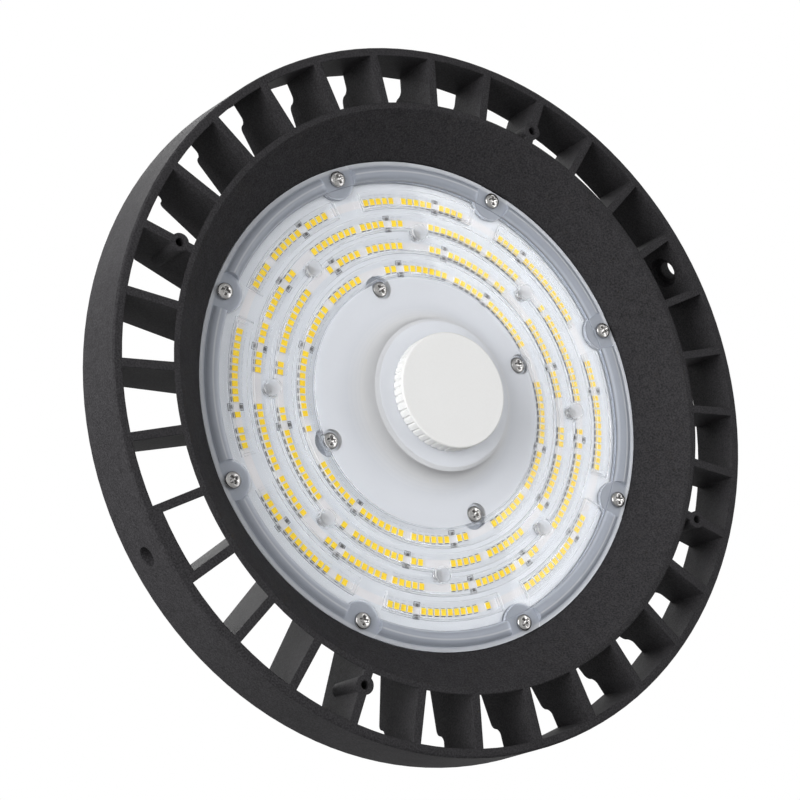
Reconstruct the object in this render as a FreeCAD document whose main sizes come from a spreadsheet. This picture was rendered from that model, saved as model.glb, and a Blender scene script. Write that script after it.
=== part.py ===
import FreeCAD, Part
import math
import os
import re
import Sketcher
from FreeCAD import Placement, Rotation, Vector

# Round LED high bay light: a die-cast finned heat sink with a recessed lens, a sensor port under a
# round cap, and a driver drum with a lifting eye behind. Millimetres. +Z points to the ceiling, the
# origin is the centre of the front rim plane, and angles turn about +Z from +X.

sizes = {
    # outer rim band
    "rim_radius": 170.0,
    "rim_wall": 4.2,
    "rim_depth": 30.0,
    "rim_flare": 2.0,
    "rim_inner_flare": 1.7,
    "rim_chamfer": 0.8,
    # fins between the rim and the core
    "fin_count": 32,
    "fin_front_thickness": 4.0,
    "fin_knee_thickness": 2.4,
    "fin_top_thickness": 1.7,
    "fin_knee_height": 34.0,
    "fin_land_height": 28.0,
    "fin_land_radius": 160.5,
    "fin_ramp_radius": 154.8,
    "fin_ramp_height": 34.3,
    "fin_sweep_radius": 100.0,
    "fin_sweep_height": 44.0,
    "fin_sweep_bulge": 5.0,
    "fin_shoulder_bulge": 0.73,
    "fin_top_height": 84.0,
    "fin_top_reach": 4.5,
    # cone that funnels down to the lens
    "cone_front_radius": 139.0,
    "cone_lip": 3.0,
    "cone_depth": 21.8,
    "cone_wall": 3.2,
    "lens_radius": 120.0,
    "lens_clearance": 0.5,
    # lens seat and the deck that carries the LED board
    "seat_height": 25.8,
    "seat_width": 9.5,
    "deck_height": 28.1,
    "deck_thickness": 4.9,
    "deck_edge_height": 31.0,
    "lead_hole_radius": 12.0,
    # driver drum
    "drum_radius": 70.0,
    "drum_wall": 4.0,
    "drum_top_height": 92.0,
    "drum_flange_radius": 76.0,
    "drum_flange_depth": 8.0,
    # screw posts and tapped holes
    "thread_clearance": 0.05,
    "screw_clearance": 0.25,
    "screw_hole_floor": 2.0,
    "lens_screw_circle": 114.6,
    "lens_screw_count": 8,
    "lens_post_radius": 8.8,
    "lens_boss_radius": 4.6,
    "lens_boss_height": 40.0,
    "hub_screw_circle": 58.3,
    "hub_screw_count": 4,
    "hub_boss_height": 42.0,
    "board_screw_circle": 83.9,
    "board_screw_count": 8,
    "board_boss_radius": 3.6,
    "board_boss_height": 37.0,
    # front bosses for an accessory and the two side bracket holes
    "front_boss_circle": 148.35,
    "front_boss_count": 4,
    "front_boss_radius": 4.3,
    "front_boss_taper": 0.8,
    "front_boss_depth": 24.0,
    "front_hole_radius": 2.0,
    "front_hole_depth": 12.0,
    "bracket_angle": 84.375,
    "bracket_pad_thickness": 3.3,
    "bracket_pad_height": 27.5,
    "bracket_hole_height": 15.0,
    "bracket_hole_radius": 4.5,
    "bracket_recess_radius": 8.0,
    # lens
    "lens_front": 23.2,
    "lens_thickness": 2.2,
    "flange_front": 22.3,
    "flange_back": 24.3,
    "flange_step": 2.3,
    "bead_inner_radius": 110.4,
    "bead_height": 2.5,
    "scallop_radius": 9.3,
    "scallop_front": 22.6,
    "channel_height": 2.4,
    "channel_half_width": 4.7,
    "channel_slope": 0.7,
    "channel_wall": 2.0,
    "channel_sweep": 36.4,
    "bump_radius": 4.9,
    "bump_height": 3.0,
    "bump_wall": 1.4,
    "cup_radius": 6.6,
    "cup_wall": 1.4,
    "cup_floor": 2.0,
    "cup_gap": 0.3,
    "hub_foot_radius": 54.0,
    "hub_rim_radius": 35.4,
    "hub_front": 8.3,
    "hub_lip": 1.7,
    "hub_bulge": 3.8,
    "hub_hole_radius": 16.2,
    # LED board and chips
    "board_radius": 110.2,
    "board_thickness": 1.6,
    "board_notch_radius": 9.6,
    "board_centre_hole": 24.0,
    "board_cup_hole_radius": 7.2,
    "chip_pitch": 3.61,
    "chip_width": 2.8,
    "chip_length": 3.5,
    "chip_thickness": 0.7,
    "chip_short_gap": 0.66,
    "outer_row_radius": 101.0,
    "second_row_radius": 89.5,
    "third_row_radius": 78.2,
    "inner_row_radius": 66.7,
    "resistor_width": 2.4,
    "resistor_length": 1.5,
    "resistor_thickness": 0.6,
    "resistor_offset": 2.6,
    # screws
    "lens_screw_radius": 2.0,
    "lens_screw_length": 14.0,
    "lens_head_radius": 4.0,
    "lens_head_height": 2.4,
    "board_screw_radius": 1.5,
    "board_screw_length": 7.0,
    "board_head_radius": 2.8,
    "board_head_height": 1.8,
    "head_dome": 0.45,
    "dome_narrowing": 0.72,
    # sensor port and its cap
    "cap_radius": 28.0,
    "cap_face": 0.4,
    "cap_edge": 0.8,
    "cap_wall": 2.2,
    "cap_groove_count": 48,
    "cap_groove_depth": 0.9,
    "cap_groove_half_width": 0.6,
    "cap_groove_start": 1.1,
    "port_neck_radius": 13.0,
    "port_neck_gap": 0.6,
    "port_flange_radius": 24.5,
    "port_flange_thickness": 2.0,
    "port_body_back": 22.0,
    "port_cavity_radius": 11.0,
    "port_cavity_depth": 8.0,
    "port_fit": 0.4,
    "port_seal_thickness": 0.5,
    "port_nut_radius": 21.0,
    "port_nut_height": 4.0,
    "contact_circle": 6.0,
    "contact_count": 4,
    "contact_tail": 3.0,
    "contact_width": 3.6,
    "contact_thickness": 0.9,
    "contact_length": 7.0,
    # driver cover
    "cover_gasket_thickness": 1.2,
    "cover_gasket_inner_radius": 69.8,
    "cover_flange_thickness": 4.6,
    "cover_wall": 3.2,
    "cover_foot_radius": 73.0,
    "cover_shoulder_radius": 70.5,
    "cover_shoulder_height": 108.5,
    "cover_top_radius": 64.5,
    "cover_top_height": 114.0,
    "cover_bulge": 1.4,
    "cover_screw_circle": 77.6,
    "cover_screw_count": 6,
    "cover_screw_length": 12.0,
    "ear_radius": 5.2,
    "eye_boss_radius": 15.5,
    "eye_boss_top_radius": 13.5,
    "eye_boss_height": 121.0,
    # lifting eye
    "eye_shank_radius": 5.0,
    "eye_shank_length": 23.0,
    "eye_ring_radius": 17.5,
    "eye_wire_radius": 5.0,
    "eye_collar_radius": 12.5,
    "eye_collar_height": 3.0,
    "eye_root": 1.5,
    "eye_neck_radius": 9.0,
    "eye_neck_height": 5.0,
    "eye_fit": 0.25,
    "washer_radius": 10.0,
    "washer_thickness": 2.0,
    "nut_radius": 9.8,
    "nut_height": 8.0,
    "lock_screw_height": 117.5,
    "lock_screw_radius": 2.0,
    "lock_screw_length": 7.0,
    # cable gland and pressure vent on the cover
    "gland_circle": 42.0,
    "gland_neck_radius": 8.0,
    "gland_neck_depth": 10.0,
    "gland_hex_radius": 12.7,
    "gland_hex_height": 5.0,
    "gland_thread_height": 7.0,
    "gland_fit": 0.2,
    "gland_nut_radius": 11.5,
    "gland_nut_height": 10.0,
    "gland_dome_height": 3.5,
    "gland_dome_radius": 7.6,
    "gland_lip": 1.2,
    "gland_bore_radius": 4.5,
    "gland_inlet": 0.7,
    "gland_seal_radius": 6.2,
    "gland_seal_length": 8.5,
    "gland_seal_depth": 4.0,
    "gland_locknut_height": 4.0,
    "vent_neck_radius": 5.8,
    "vent_neck_depth": 8.0,
    "vent_cap_radius": 9.0,
    "vent_cap_height": 4.5,
    "vent_cap_slope": 1.6,
    # driver board and its parts
    "driver_board_radius": 60.0,
    "driver_board_height": 45.0,
    "driver_board_thickness": 1.6,
    "standoff_circle": 50.0,
    "standoff_count": 4,
    "standoff_radius": 3.2,
    "driver_screw_length": 8.0,
    "part_clearance": 0.3,
    "capacitor_circle": 38.0,
    "capacitor_radius": 9.0,
    "capacitor_height": 30.0,
    "choke_radius": 9.0,
    "choke_wire_radius": 4.2,
    "transformer_place": 36.0,
    "core_length": 36.0,
    "core_width": 14.0,
    "core_height": 32.0,
    "core_leg": 5.0,
    "winding_radius": 12.0,
    "sink_place": 25.0,
    "sink_length": 44.0,
    "sink_thickness": 2.5,
    "sink_height": 28.0,
    "terminal_place": 42.0,
    "terminal_length": 24.0,
    "terminal_width": 12.0,
    "terminal_height": 12.0,
    "terminal_hole_radius": 1.9,
    "grommet_flange": 2.6,
    "grommet_lip": 1.1,
    "grommet_bore_radius": 6.0,
    "grommet_fit": 0.2,
}

doc = FreeCAD.newDocument("high_bay_light")
sheet = doc.addObject("Spreadsheet::Sheet", "Sizes")


def fill_sheet():
    for row, (alias, number) in enumerate(sizes.items(), start=1):
        sheet.set("A%d" % row, alias)
        sheet.set("B%d" % row, repr(number))
        sheet.setAlias("B%d" % row, alias)
    doc.recompute()


def linked(text):
    """Write each size's name in a formula as a reference to its cell in the sheet."""
    return re.sub(r"[a-z_]+", lambda m: "Sizes." + m.group() if m.group() in sizes else m.group(), text)


def value(text):
    """Work a formula out with the sheet's present numbers."""
    return float(sheet.evalExpression(text))


def bind(feature, prop, text):
    feature.setExpression(prop, linked(text))


def new_body(label):
    body = doc.addObject("PartDesign::Body", label)
    body.Label = label
    return body


def origin_item(body, role):
    return [item for item in body.Origin.OriginFeatures if item.Role == role][0]


def new_sketch(body, name, role, height="0", turn="0"):
    """A sketch on one of the body's planes, raised along its normal or turned about its own Y axis."""
    sketch = body.newObject("Sketcher::SketchObject", name)
    sketch.AttachmentSupport = [(origin_item(body, role), "")]
    sketch.MapMode = "FlatFace"
    if turn != "0":
        sketch.AttachmentOffset = Placement(Vector(), Rotation(Vector(0, 1, 0), 1))
        bind(sketch, "AttachmentOffset.Rotation.Angle", turn + " * 1 deg")
    if height != "0":
        bind(sketch, "AttachmentOffset.Base.z", height)
    return sketch


def outline_edge(start, end, bulge):
    """A line, or an arc that leaves its chord by the bulge and turns left for a positive one."""
    if not bulge:
        return Part.LineSegment(start, end), 1, 2
    chord = end - start
    radius = chord.Length ** 2 / (8 * abs(bulge)) + abs(bulge) / 2
    left = Vector(-chord.y, chord.x, 0).normalize()
    side = 1 if bulge > 0 else -1
    centre = (start + end) / 2 + left * side * (radius - abs(bulge))
    first, last = (start, end) if bulge > 0 else (end, start)
    angles = [math.atan2(p.y - centre.y, p.x - centre.x) for p in (first, last)]
    circle = Part.Circle(centre, Vector(0, 0, 1), radius)
    arc = Part.ArcOfCircle(circle, angles[0], angles[1])
    return (arc, 1, 2) if bulge > 0 else (arc, 2, 1)


def bulge_radius(before, corner):
    """The formula of the radius that gives an arc its bulge between two corners."""
    across = "pow((%s) - (%s); 2)" % (corner[0], before[0])
    along = "pow((%s) - (%s); 2)" % (corner[1], before[1])
    return "(%s + %s) / (8 * abs(%s)) + abs(%s) / 2" % (across, along, corner[2], corner[2])


def draw_outline(sketch, corners):
    """A closed outline. Each corner is its two coordinates, and the bulge of an arc that reaches it."""
    points = [Vector(value(corner[0]), value(corner[1]), 0) for corner in corners]
    edges = []
    for i, corner in enumerate(corners):
        bulge = value(corner[2]) if len(corner) == 3 else 0
        edge, first, last = outline_edge(points[i - 1], points[i], bulge)
        edges.append((sketch.addGeometry(edge, False), first, last))
    for i, (index, first, last) in enumerate(edges):
        before, _, end = edges[i - 1]
        sketch.addConstraint(Sketcher.Constraint("Coincident", before, end, index, first))
    for i, corner in enumerate(corners):
        index, _, last = edges[i]
        place_corner(sketch, "DistanceX", -2, index, last, points[i].x, corner[0])
        place_corner(sketch, "DistanceY", -1, index, last, points[i].y, corner[1])
        if len(corner) == 3:
            formula = bulge_radius(corners[i - 1], corner)
            number = sketch.addConstraint(Sketcher.Constraint("Radius", index, value(formula)))
            bind(sketch, "Constraints[%d]" % number, formula)


def place_corner(sketch, kind, axis, index, end, number, text):
    """Hold a corner's coordinate at its formula, or on the axis where it is nothing."""
    if abs(number) < 1e-9:
        sketch.addConstraint(Sketcher.Constraint("PointOnObject", index, end, axis))
        return
    constraint = sketch.addConstraint(Sketcher.Constraint(kind, -1, 1, index, end, number))
    bind(sketch, "Constraints[%d]" % constraint, text)


def revolve(body, name, corners, kind="Revolution", sweep="360", turn="0"):
    """Turn an outline, drawn as radius and height, about the Z axis."""
    sketch = new_sketch(body, name + "_outline", "XZ_Plane", turn=turn)
    draw_outline(sketch, corners)
    feature = body.newObject("PartDesign::" + kind, name)
    feature.Profile = sketch
    feature.ReferenceAxis = (sketch, ["V_Axis"])
    feature.Midplane = sweep != "360"
    bind(feature, "Angle", sweep)
    doc.recompute()
    return feature


def primitive(body, kind, name, place=("0", "0", "0"), turn=None, **measures):
    """A solid primitive added to or taken from the body, at a place given as formulas."""
    feature = body.newObject("PartDesign::" + kind, name)
    if turn:
        feature.Placement = Placement(Vector(), turn)
    for prop, text in measures.items():
        bind(feature, prop, text)
    for axis, text in zip("xyz", place):
        bind(feature, "Placement.Base." + axis, text)
    return feature


def ring_copies(body, name, originals, count):
    doc.recompute()
    pattern = body.newObject("PartDesign::PolarPattern", name)
    pattern.Originals = originals
    pattern.Axis = (origin_item(body, "Z_Axis"), [""])
    pattern.Angle = 360
    bind(pattern, "Occurrences", count)
    body.Tip = pattern
    doc.recompute()


def on_circle(radius, angle, height="0"):
    """The formulas of a place on a circle about the Z axis."""
    return ("%s * cos(%s)" % (radius, angle), "%s * sin(%s)" % (radius, angle), height)


def radial_turn(angle):
    """Turn a primitive's Z axis to point outwards at an angle about the Z axis."""
    return Rotation(Vector(0, 0, 1), angle) * Rotation(Vector(0, 1, 0), 90)


def place_solids(label, solids):
    """Hold repeated small solids as one sub-part."""
    feature = doc.addObject("Part::Feature", label)
    feature.Label = label
    feature.Shape = Part.Compound(solids)
    return feature


# Angles at which the repeated features stand. Fins stand at every eighth of 90 degrees from 0.
post_angle = "0"
between_angle = "22.5"
corner_angle = "45"


def fin_blade(body):
    """One blade, tapered towards the back in two steps, from the drum wall into the rim band."""
    inner = "drum_radius - drum_wall / 2"
    top = "drum_top_height - drum_flange_depth + 1"
    stations = (("0", "fin_front_thickness"), ("fin_knee_height", "fin_knee_thickness"),
                (top, "fin_top_thickness"))
    sketch = new_sketch(body, "fin_section", "YZ_Plane", height=inner)
    right = [("%s / 2" % thickness, height) for height, thickness in stations]
    left = [("-%s / 2" % thickness, height) for height, thickness in reversed(stations)]
    draw_outline(sketch, right + left)
    blade = body.newObject("PartDesign::Pad", "fin_blade")
    blade.Profile = sketch
    bind(blade, "Length", "rim_radius - rim_wall / 2 - (%s)" % inner)
    return blade


# Outer radius of the wall that holds the lens.
seat_wall = "lens_radius + lens_clearance"


def heatsink_fins():
    """All the blades, cut to the funnel in front and to the swept outline behind."""
    body = new_body("heatsink_fins")
    blade = fin_blade(body)
    ring_copies(body, "fins", [blade], "fin_count")
    mid_cone = "cone_front_radius + cone_lip / 2"
    revolve(body, "front_dish", [
        ("0", "-1"),
        (mid_cone, "-1"),
        (mid_cone, "0"),
        (seat_wall + " + cone_wall / 2", "cone_depth"),
        (seat_wall + " + cone_wall / 2", "seat_height + 1"),
        (seat_wall, "deck_height + 1"),
        ("0", "deck_height + 1")], kind="Groove")
    revolve(body, "rear_sweep", [
        ("rim_radius", "fin_land_height"),
        ("rim_radius", "drum_top_height + 1"),
        ("drum_radius + fin_top_reach", "drum_top_height + 1"),
        ("drum_radius + fin_top_reach", "fin_top_height"),
        ("fin_sweep_radius", "fin_sweep_height", "fin_sweep_bulge"),
        ("fin_ramp_radius", "fin_ramp_height"),
        ("(fin_ramp_radius + fin_land_radius) / 2", "(fin_ramp_height + fin_land_height) / 2",
         "-fin_shoulder_bulge"),
        ("fin_land_radius", "fin_land_height", "fin_shoulder_bulge")], kind="Groove")
    return body


def heatsink_casting():
    """Rim band, funnel, deck and driver drum, with the posts, bosses and pads that stand on them."""
    body = new_body("heatsink_casting")
    revolve(body, "rim_band", [
        ("rim_radius - rim_wall", "0"),
        ("rim_radius - rim_chamfer", "0"),
        ("rim_radius", "rim_chamfer"),
        ("rim_radius + rim_flare", "rim_depth"),
        ("rim_radius - rim_wall + rim_inner_flare", "rim_depth")])
    deck_back = "deck_height + deck_thickness"
    drum_inner = "drum_radius - drum_wall"
    revolve(body, "core", [
        ("cone_front_radius", "0"),
        ("cone_front_radius + cone_lip", "0"),
        (seat_wall + " + cone_wall", "cone_depth"),
        (seat_wall + " + cone_wall / 2", "deck_edge_height"),
        ("drum_radius + cone_wall", deck_back + " + cone_wall / 2"),
        ("drum_radius", deck_back + " + cone_wall"),
        ("drum_radius", "drum_top_height - drum_flange_depth - cone_wall"),
        ("drum_flange_radius", "drum_top_height - drum_flange_depth"),
        ("drum_flange_radius", "drum_top_height"),
        (drum_inner, "drum_top_height"),
        (drum_inner, deck_back),
        ("lead_hole_radius", deck_back),
        ("lead_hole_radius", "deck_height"),
        (seat_wall + " - seat_width", "deck_height"),
        (seat_wall + " - seat_width", "seat_height"),
        (seat_wall, "seat_height"),
        (seat_wall, "cone_depth")])
    screw_posts(body)
    front_bosses(body)
    bracket_pads(body)
    return body


def standing_post(body, name, place, radius, height, count):
    post = primitive(body, "AdditiveCylinder", name, place, Radius=radius, Height=height)
    ring_copies(body, name + "s", [post], count)


def screw_posts(body):
    """Posts beside the seat, on the deck's back, on the drum's floor and round the drum's flange."""
    standing_post(body, "lens_post", on_circle("lens_screw_circle", post_angle, "seat_height"),
                  "lens_post_radius", "deck_edge_height - seat_height", "lens_screw_count")
    standing_post(body, "lens_boss", on_circle("lens_screw_circle", post_angle, "deck_height"),
                  "lens_boss_radius", "lens_boss_height - deck_height", "lens_screw_count")
    standing_post(body, "hub_boss", on_circle("hub_screw_circle", post_angle, "deck_height"),
                  "lens_boss_radius", "hub_boss_height - deck_height", "hub_screw_count")
    standing_post(body, "board_boss", on_circle("board_screw_circle", between_angle, "deck_height + 1"),
                  "board_boss_radius", "board_boss_height - deck_height - 1", "board_screw_count")
    flange_back = "drum_top_height - drum_flange_depth"
    standing_post(body, "cover_ear", on_circle("cover_screw_circle", post_angle, flange_back),
                  "ear_radius", "drum_flange_depth", "cover_screw_count")


def front_bosses(body):
    """Bosses on four fins, with blind holes for a guard or a reflector."""
    boss = primitive(body, "AdditiveCone", "front_boss", on_circle("front_boss_circle", corner_angle),
                     Radius1="front_boss_radius", Radius2="front_boss_radius - front_boss_taper",
                     Height="front_boss_depth")
    ring_copies(body, "front_bosses", [boss], "front_boss_count")


# Inner radius of the two bays where the rim is thicker.
pad_radius = "rim_radius - rim_wall - bracket_pad_thickness"


def bracket_pads(body):
    """Two opposite bays where the rim is thicker and carries a hole for a side bracket."""
    pad = revolve(body, "bracket_pad", [
        (pad_radius, "0"),
        ("rim_radius - rim_wall / 2", "0"),
        ("rim_radius - rim_wall / 2", "bracket_pad_height"),
        (pad_radius, "bracket_pad_height")], sweep="360 / fin_count", turn="bracket_angle")
    ring_copies(body, "bracket_pads", [pad], "2")


def drilled(body, name, place, radius, depth, count, turn=None):
    hole = primitive(body, "AdditiveCylinder", name, place, turn, Radius=radius, Height=depth)
    ring_copies(body, name + "s", [hole], count)


def heatsink_holes():
    """The tapped holes, the blind holes in the front bosses and the two bracket holes."""
    body = new_body("heatsink_holes")
    tapped = "lens_screw_radius + thread_clearance"
    drilled(body, "lens_screw_hole", on_circle("lens_screw_circle", post_angle, "seat_height - 1"), tapped,
            "lens_boss_height - seat_height - screw_hole_floor + 1", "lens_screw_count")
    drilled(body, "hub_screw_hole", on_circle("hub_screw_circle", post_angle, "deck_height - 1"), tapped,
            "hub_boss_height - deck_height - screw_hole_floor + 1", "hub_screw_count")
    drilled(body, "board_screw_hole", on_circle("board_screw_circle", between_angle, "deck_height - 1"),
            "board_screw_radius + thread_clearance",
            "board_boss_height - deck_height - screw_hole_floor + 1", "board_screw_count")
    depth = "(cover_screw_length - cover_flange_thickness - cover_gasket_thickness + 1)"
    drilled(body, "cover_screw_hole",
            on_circle("cover_screw_circle", post_angle, "drum_top_height - " + depth), tapped,
            depth + " + 1", "cover_screw_count")
    drilled(body, "front_hole", on_circle("front_boss_circle", corner_angle, "-1"), "front_hole_radius",
            "front_hole_depth + 1", "front_boss_count")
    place = on_circle("(%s - 2)" % pad_radius, "bracket_angle", "bracket_hole_height")
    turn = radial_turn(value("bracket_angle"))
    drilled(body, "bracket_recess", place, "bracket_recess_radius", "bracket_pad_thickness + 2", "2", turn)
    drilled(body, "bracket_hole", place, "bracket_hole_radius",
            "bracket_pad_thickness + rim_wall + rim_flare + 4", "2", turn)
    return body


def heatsink_housing():
    """One casting: the blades fused with the rest, less the holes."""
    whole = doc.addObject("Part::MultiFuse", "heatsink_whole")
    whole.Shapes = [heatsink_casting(), heatsink_fins()]
    node = doc.addObject("Part::Cut", "heatsink_housing")
    node.Base = whole
    node.Tool = heatsink_holes()
    node.Label = "heatsink_housing"
    doc.recompute()
    return node


def ear_cylinder(body, name, base, height):
    return primitive(body, "AdditiveCylinder", name, on_circle("cover_screw_circle", post_angle, base),
                     Radius="ear_radius", Height=height)


def ridge(row_radius):
    """Front corners of the raised ring over a row of chips, from its outer foot to its inner foot."""
    return [
        ("%s + channel_half_width" % row_radius, "lens_front"),
        ("%s + channel_half_width - channel_slope" % row_radius, "lens_front - channel_height"),
        ("%s - channel_half_width + channel_slope" % row_radius, "lens_front - channel_height"),
        ("%s - channel_half_width" % row_radius, "lens_front")]


def ridge_hollow(row_radius):
    """Back corners of the same ring, from its inner side to its outer side."""
    half = "(channel_half_width - channel_wall)"
    back = "lens_front + lens_thickness"
    return [
        ("%s - %s" % (row_radius, half), back),
        ("%s - %s" % (row_radius, half), back + " - channel_height"),
        ("%s + %s" % (row_radius, half), back + " - channel_height"),
        ("%s + %s" % (row_radius, half), back)]


def lens_cover():
    body = new_body("lens_cover")
    back = "lens_front + lens_thickness"
    hub_back = "hub_front + lens_thickness"
    inner_rows = ("inner_row_radius", "third_row_radius", "second_row_radius")
    front = []
    hollows = []
    for row_radius in reversed(inner_rows):
        front += ridge(row_radius)
    for row_radius in inner_rows:
        hollows += ridge_hollow(row_radius)
    revolve(body, "moulding", [
        ("lens_radius", "flange_back"),
        ("lens_radius", "flange_front"),
        ("lens_radius - flange_step", "flange_front"),
        ("bead_inner_radius", "flange_front", "-bead_height"),
        ("bead_inner_radius - 0.4", "lens_front")] + front + [
        ("hub_foot_radius", "lens_front"),
        ("hub_rim_radius + hub_lip", "hub_front + hub_lip", "hub_bulge"),
        ("hub_rim_radius", "hub_front"),
        ("hub_hole_radius", "hub_front"),
        ("hub_hole_radius", hub_back),
        ("hub_rim_radius - lens_thickness / 2", hub_back),
        ("hub_rim_radius + hub_lip - lens_thickness / 2", hub_back + " + hub_lip"),
        ("hub_foot_radius - lens_thickness / 2", back, "-hub_bulge")] + hollows + [
        ("lens_radius + lens_clearance - seat_width - 0.2", back),
        ("lens_radius + lens_clearance - seat_width - 0.2", "flange_back")])
    row_channels(body)
    screw_scallops(body)
    screw_bumps(body)
    hub_cups(body)
    return body


def row_channels(body):
    """The outermost row lies under separate raised arcs that stop short of the screws."""
    channel = revolve(body, "channel", ridge("outer_row_radius") + [
        ("outer_row_radius - channel_half_width", "lens_front + channel_slope"),
        ("outer_row_radius + channel_half_width", "lens_front + channel_slope")],
        sweep="channel_sweep", turn=between_angle)
    ring_copies(body, "channels", [channel], "lens_screw_count")
    hollow = revolve(body, "channel_hollow", ridge_hollow("outer_row_radius"), kind="Groove",
                     sweep="channel_sweep - 1.5", turn=between_angle)
    ring_copies(body, "channel_hollows", [hollow], "lens_screw_count")


def screw_scallops(body):
    """A round dip through the bead at each rim screw, with a clear hole in its floor."""
    dip = primitive(body, "SubtractiveCylinder", "scallop",
                    on_circle("lens_screw_circle", post_angle, "flange_front - bead_height - 1"),
                    Radius="scallop_radius", Height="scallop_front - flange_front + bead_height + 1")
    under = primitive(body, "SubtractiveCylinder", "scallop_seat",
                      on_circle("lens_screw_circle", post_angle, "flange_back"),
                      Radius="scallop_radius", Height="lens_thickness * 2")
    hole = primitive(body, "SubtractiveCylinder", "scallop_hole",
                     on_circle("lens_screw_circle", post_angle, "flange_front - bead_height - 1"),
                     Radius="lens_screw_radius + screw_clearance", Height="lens_thickness * 4")
    ring_copies(body, "scallops", [dip, under, hole], "lens_screw_count")


def screw_bumps(body):
    """Round bumps that clear the heads of the board screws."""
    place = on_circle("board_screw_circle", between_angle, "lens_front - bump_height")
    bump = primitive(body, "AdditiveCone", "bump", place, Radius1="bump_radius - channel_slope",
                     Radius2="bump_radius", Height="bump_height + channel_slope")
    ring_copies(body, "bumps", [bump], "board_screw_count")
    place = on_circle("board_screw_circle", between_angle, "lens_front - bump_height + lens_thickness")
    hollow = primitive(body, "SubtractiveCylinder", "bump_hollow", place,
                       Radius="bump_radius - bump_wall", Height="bump_height + channel_slope")
    ring_copies(body, "bump_hollows", [hollow], "board_screw_count")


def hub_cups(body):
    """Deep cups round the hub, whose floors stand just clear of the deck and take the inner screws."""
    middle = "(lens_front + lens_thickness / 2)"
    place = on_circle("hub_screw_circle", post_angle, middle)
    cup = primitive(body, "AdditiveCylinder", "cup", place, Radius="cup_radius",
                    Height="deck_height - cup_gap - " + middle)
    ring_copies(body, "cups", [cup], "hub_screw_count")
    mouth = "lens_front - channel_height - 1"
    place = on_circle("hub_screw_circle", post_angle, mouth)
    hollow = primitive(body, "SubtractiveCylinder", "cup_hollow", place, Radius="cup_radius - cup_wall",
                       Height="deck_height - cup_gap - cup_floor - (%s)" % mouth)
    hole = primitive(body, "SubtractiveCylinder", "cup_hole", place,
                     Radius="lens_screw_radius + screw_clearance", Height="deck_height - (%s)" % mouth)
    ring_copies(body, "cup_hollows", [hollow, hole], "hub_screw_count")


def lens_gasket():
    """Silicone ring between the lens flange and the seat, with a lobe at each screw."""
    body = new_body("lens_gasket")
    revolve(body, "ring", [
        ("lens_radius + lens_clearance - seat_width", "flange_back"),
        ("lens_radius - lens_clearance", "flange_back"),
        ("lens_radius - lens_clearance", "seat_height"),
        ("lens_radius + lens_clearance - seat_width", "seat_height")])
    place = on_circle("lens_screw_circle", post_angle, "flange_back")
    lobe = primitive(body, "AdditiveCylinder", "lobe", place, Radius="scallop_radius - lens_clearance",
                     Height="seat_height - flange_back")
    ring_copies(body, "lobes", [lobe], "lens_screw_count")
    revolve(body, "outer_trim", [
        ("lens_radius - lens_clearance", "flange_back - 1"),
        ("lens_radius + scallop_radius", "flange_back - 1"),
        ("lens_radius + scallop_radius", "seat_height + 1"),
        ("lens_radius - lens_clearance", "seat_height + 1")], kind="Groove")
    hole = primitive(body, "SubtractiveCylinder", "hole", place,
                     Radius="lens_screw_radius + screw_clearance", Height="seat_height - flange_back")
    ring_copies(body, "holes", [hole], "lens_screw_count")
    return body


def screws(label, place, count, size, length, faces_front=True):
    """Pan-head screws on a circle: a shank, a skirt on the seat and a dome above it."""
    radius = size + "_screw_radius"
    head_radius = size + "_head_radius"
    skirt = "%s_head_height * (1 - head_dome)" % size
    dome = "%s_head_height * head_dome" % size
    x, y, seat = place
    narrow = head_radius + " * dome_narrowing"
    bases = ("(%s) - %s" % (seat, length), seat, "(%s) + %s" % (seat, skirt))
    ends = (head_radius, narrow)
    if faces_front:
        bases = (seat, "(%s) - (%s)" % (seat, skirt), "(%s) - (%s) - (%s)" % (seat, skirt, dome))
        ends = (narrow, head_radius)
    body = new_body(label)
    shank = primitive(body, "AdditiveCylinder", "shank", (x, y, bases[0]), Radius=radius, Height=length)
    head = primitive(body, "AdditiveCylinder", "skirt", (x, y, bases[1]), Radius=head_radius, Height=skirt)
    top = primitive(body, "AdditiveCone", "dome", (x, y, bases[2]), Radius1=ends[0], Radius2=ends[1],
                    Height=dome)
    ring_copies(body, "ring", [shank, head, top], count)
    return body


def lens_screws():
    place = on_circle("lens_screw_circle", post_angle, "scallop_front")
    return screws("lens_screws", place, "lens_screw_count", "lens", "lens_screw_length")


def hub_screws():
    place = on_circle("hub_screw_circle", post_angle, "deck_height - cup_gap - cup_floor")
    return screws("hub_screws", place, "hub_screw_count", "lens", "lens_screw_length")


def led_board():
    body = new_body("led_board")
    front = "deck_height - board_thickness"
    revolve(body, "disc", [
        ("board_centre_hole", front),
        ("board_radius", front),
        ("board_radius", "deck_height"),
        ("board_centre_hole", "deck_height")])
    cuts = (("notch", "lens_screw_circle", post_angle, "board_notch_radius", "lens_screw_count"),
            ("cup_hole", "hub_screw_circle", post_angle, "board_cup_hole_radius", "hub_screw_count"),
            ("screw_hole", "board_screw_circle", between_angle, "board_screw_radius + screw_clearance",
             "board_screw_count"))
    for name, circle, angle, radius, count in cuts:
        cut = primitive(body, "SubtractiveCylinder", name, on_circle(circle, angle, front),
                        Radius=radius, Height="board_thickness")
        ring_copies(body, name + "s", [cut], count)
    return body


def board_screws():
    place = on_circle("board_screw_circle", between_angle, "deck_height - board_thickness")
    return screws("board_screws", place, "board_screw_count", "board", "board_screw_length")


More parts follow.
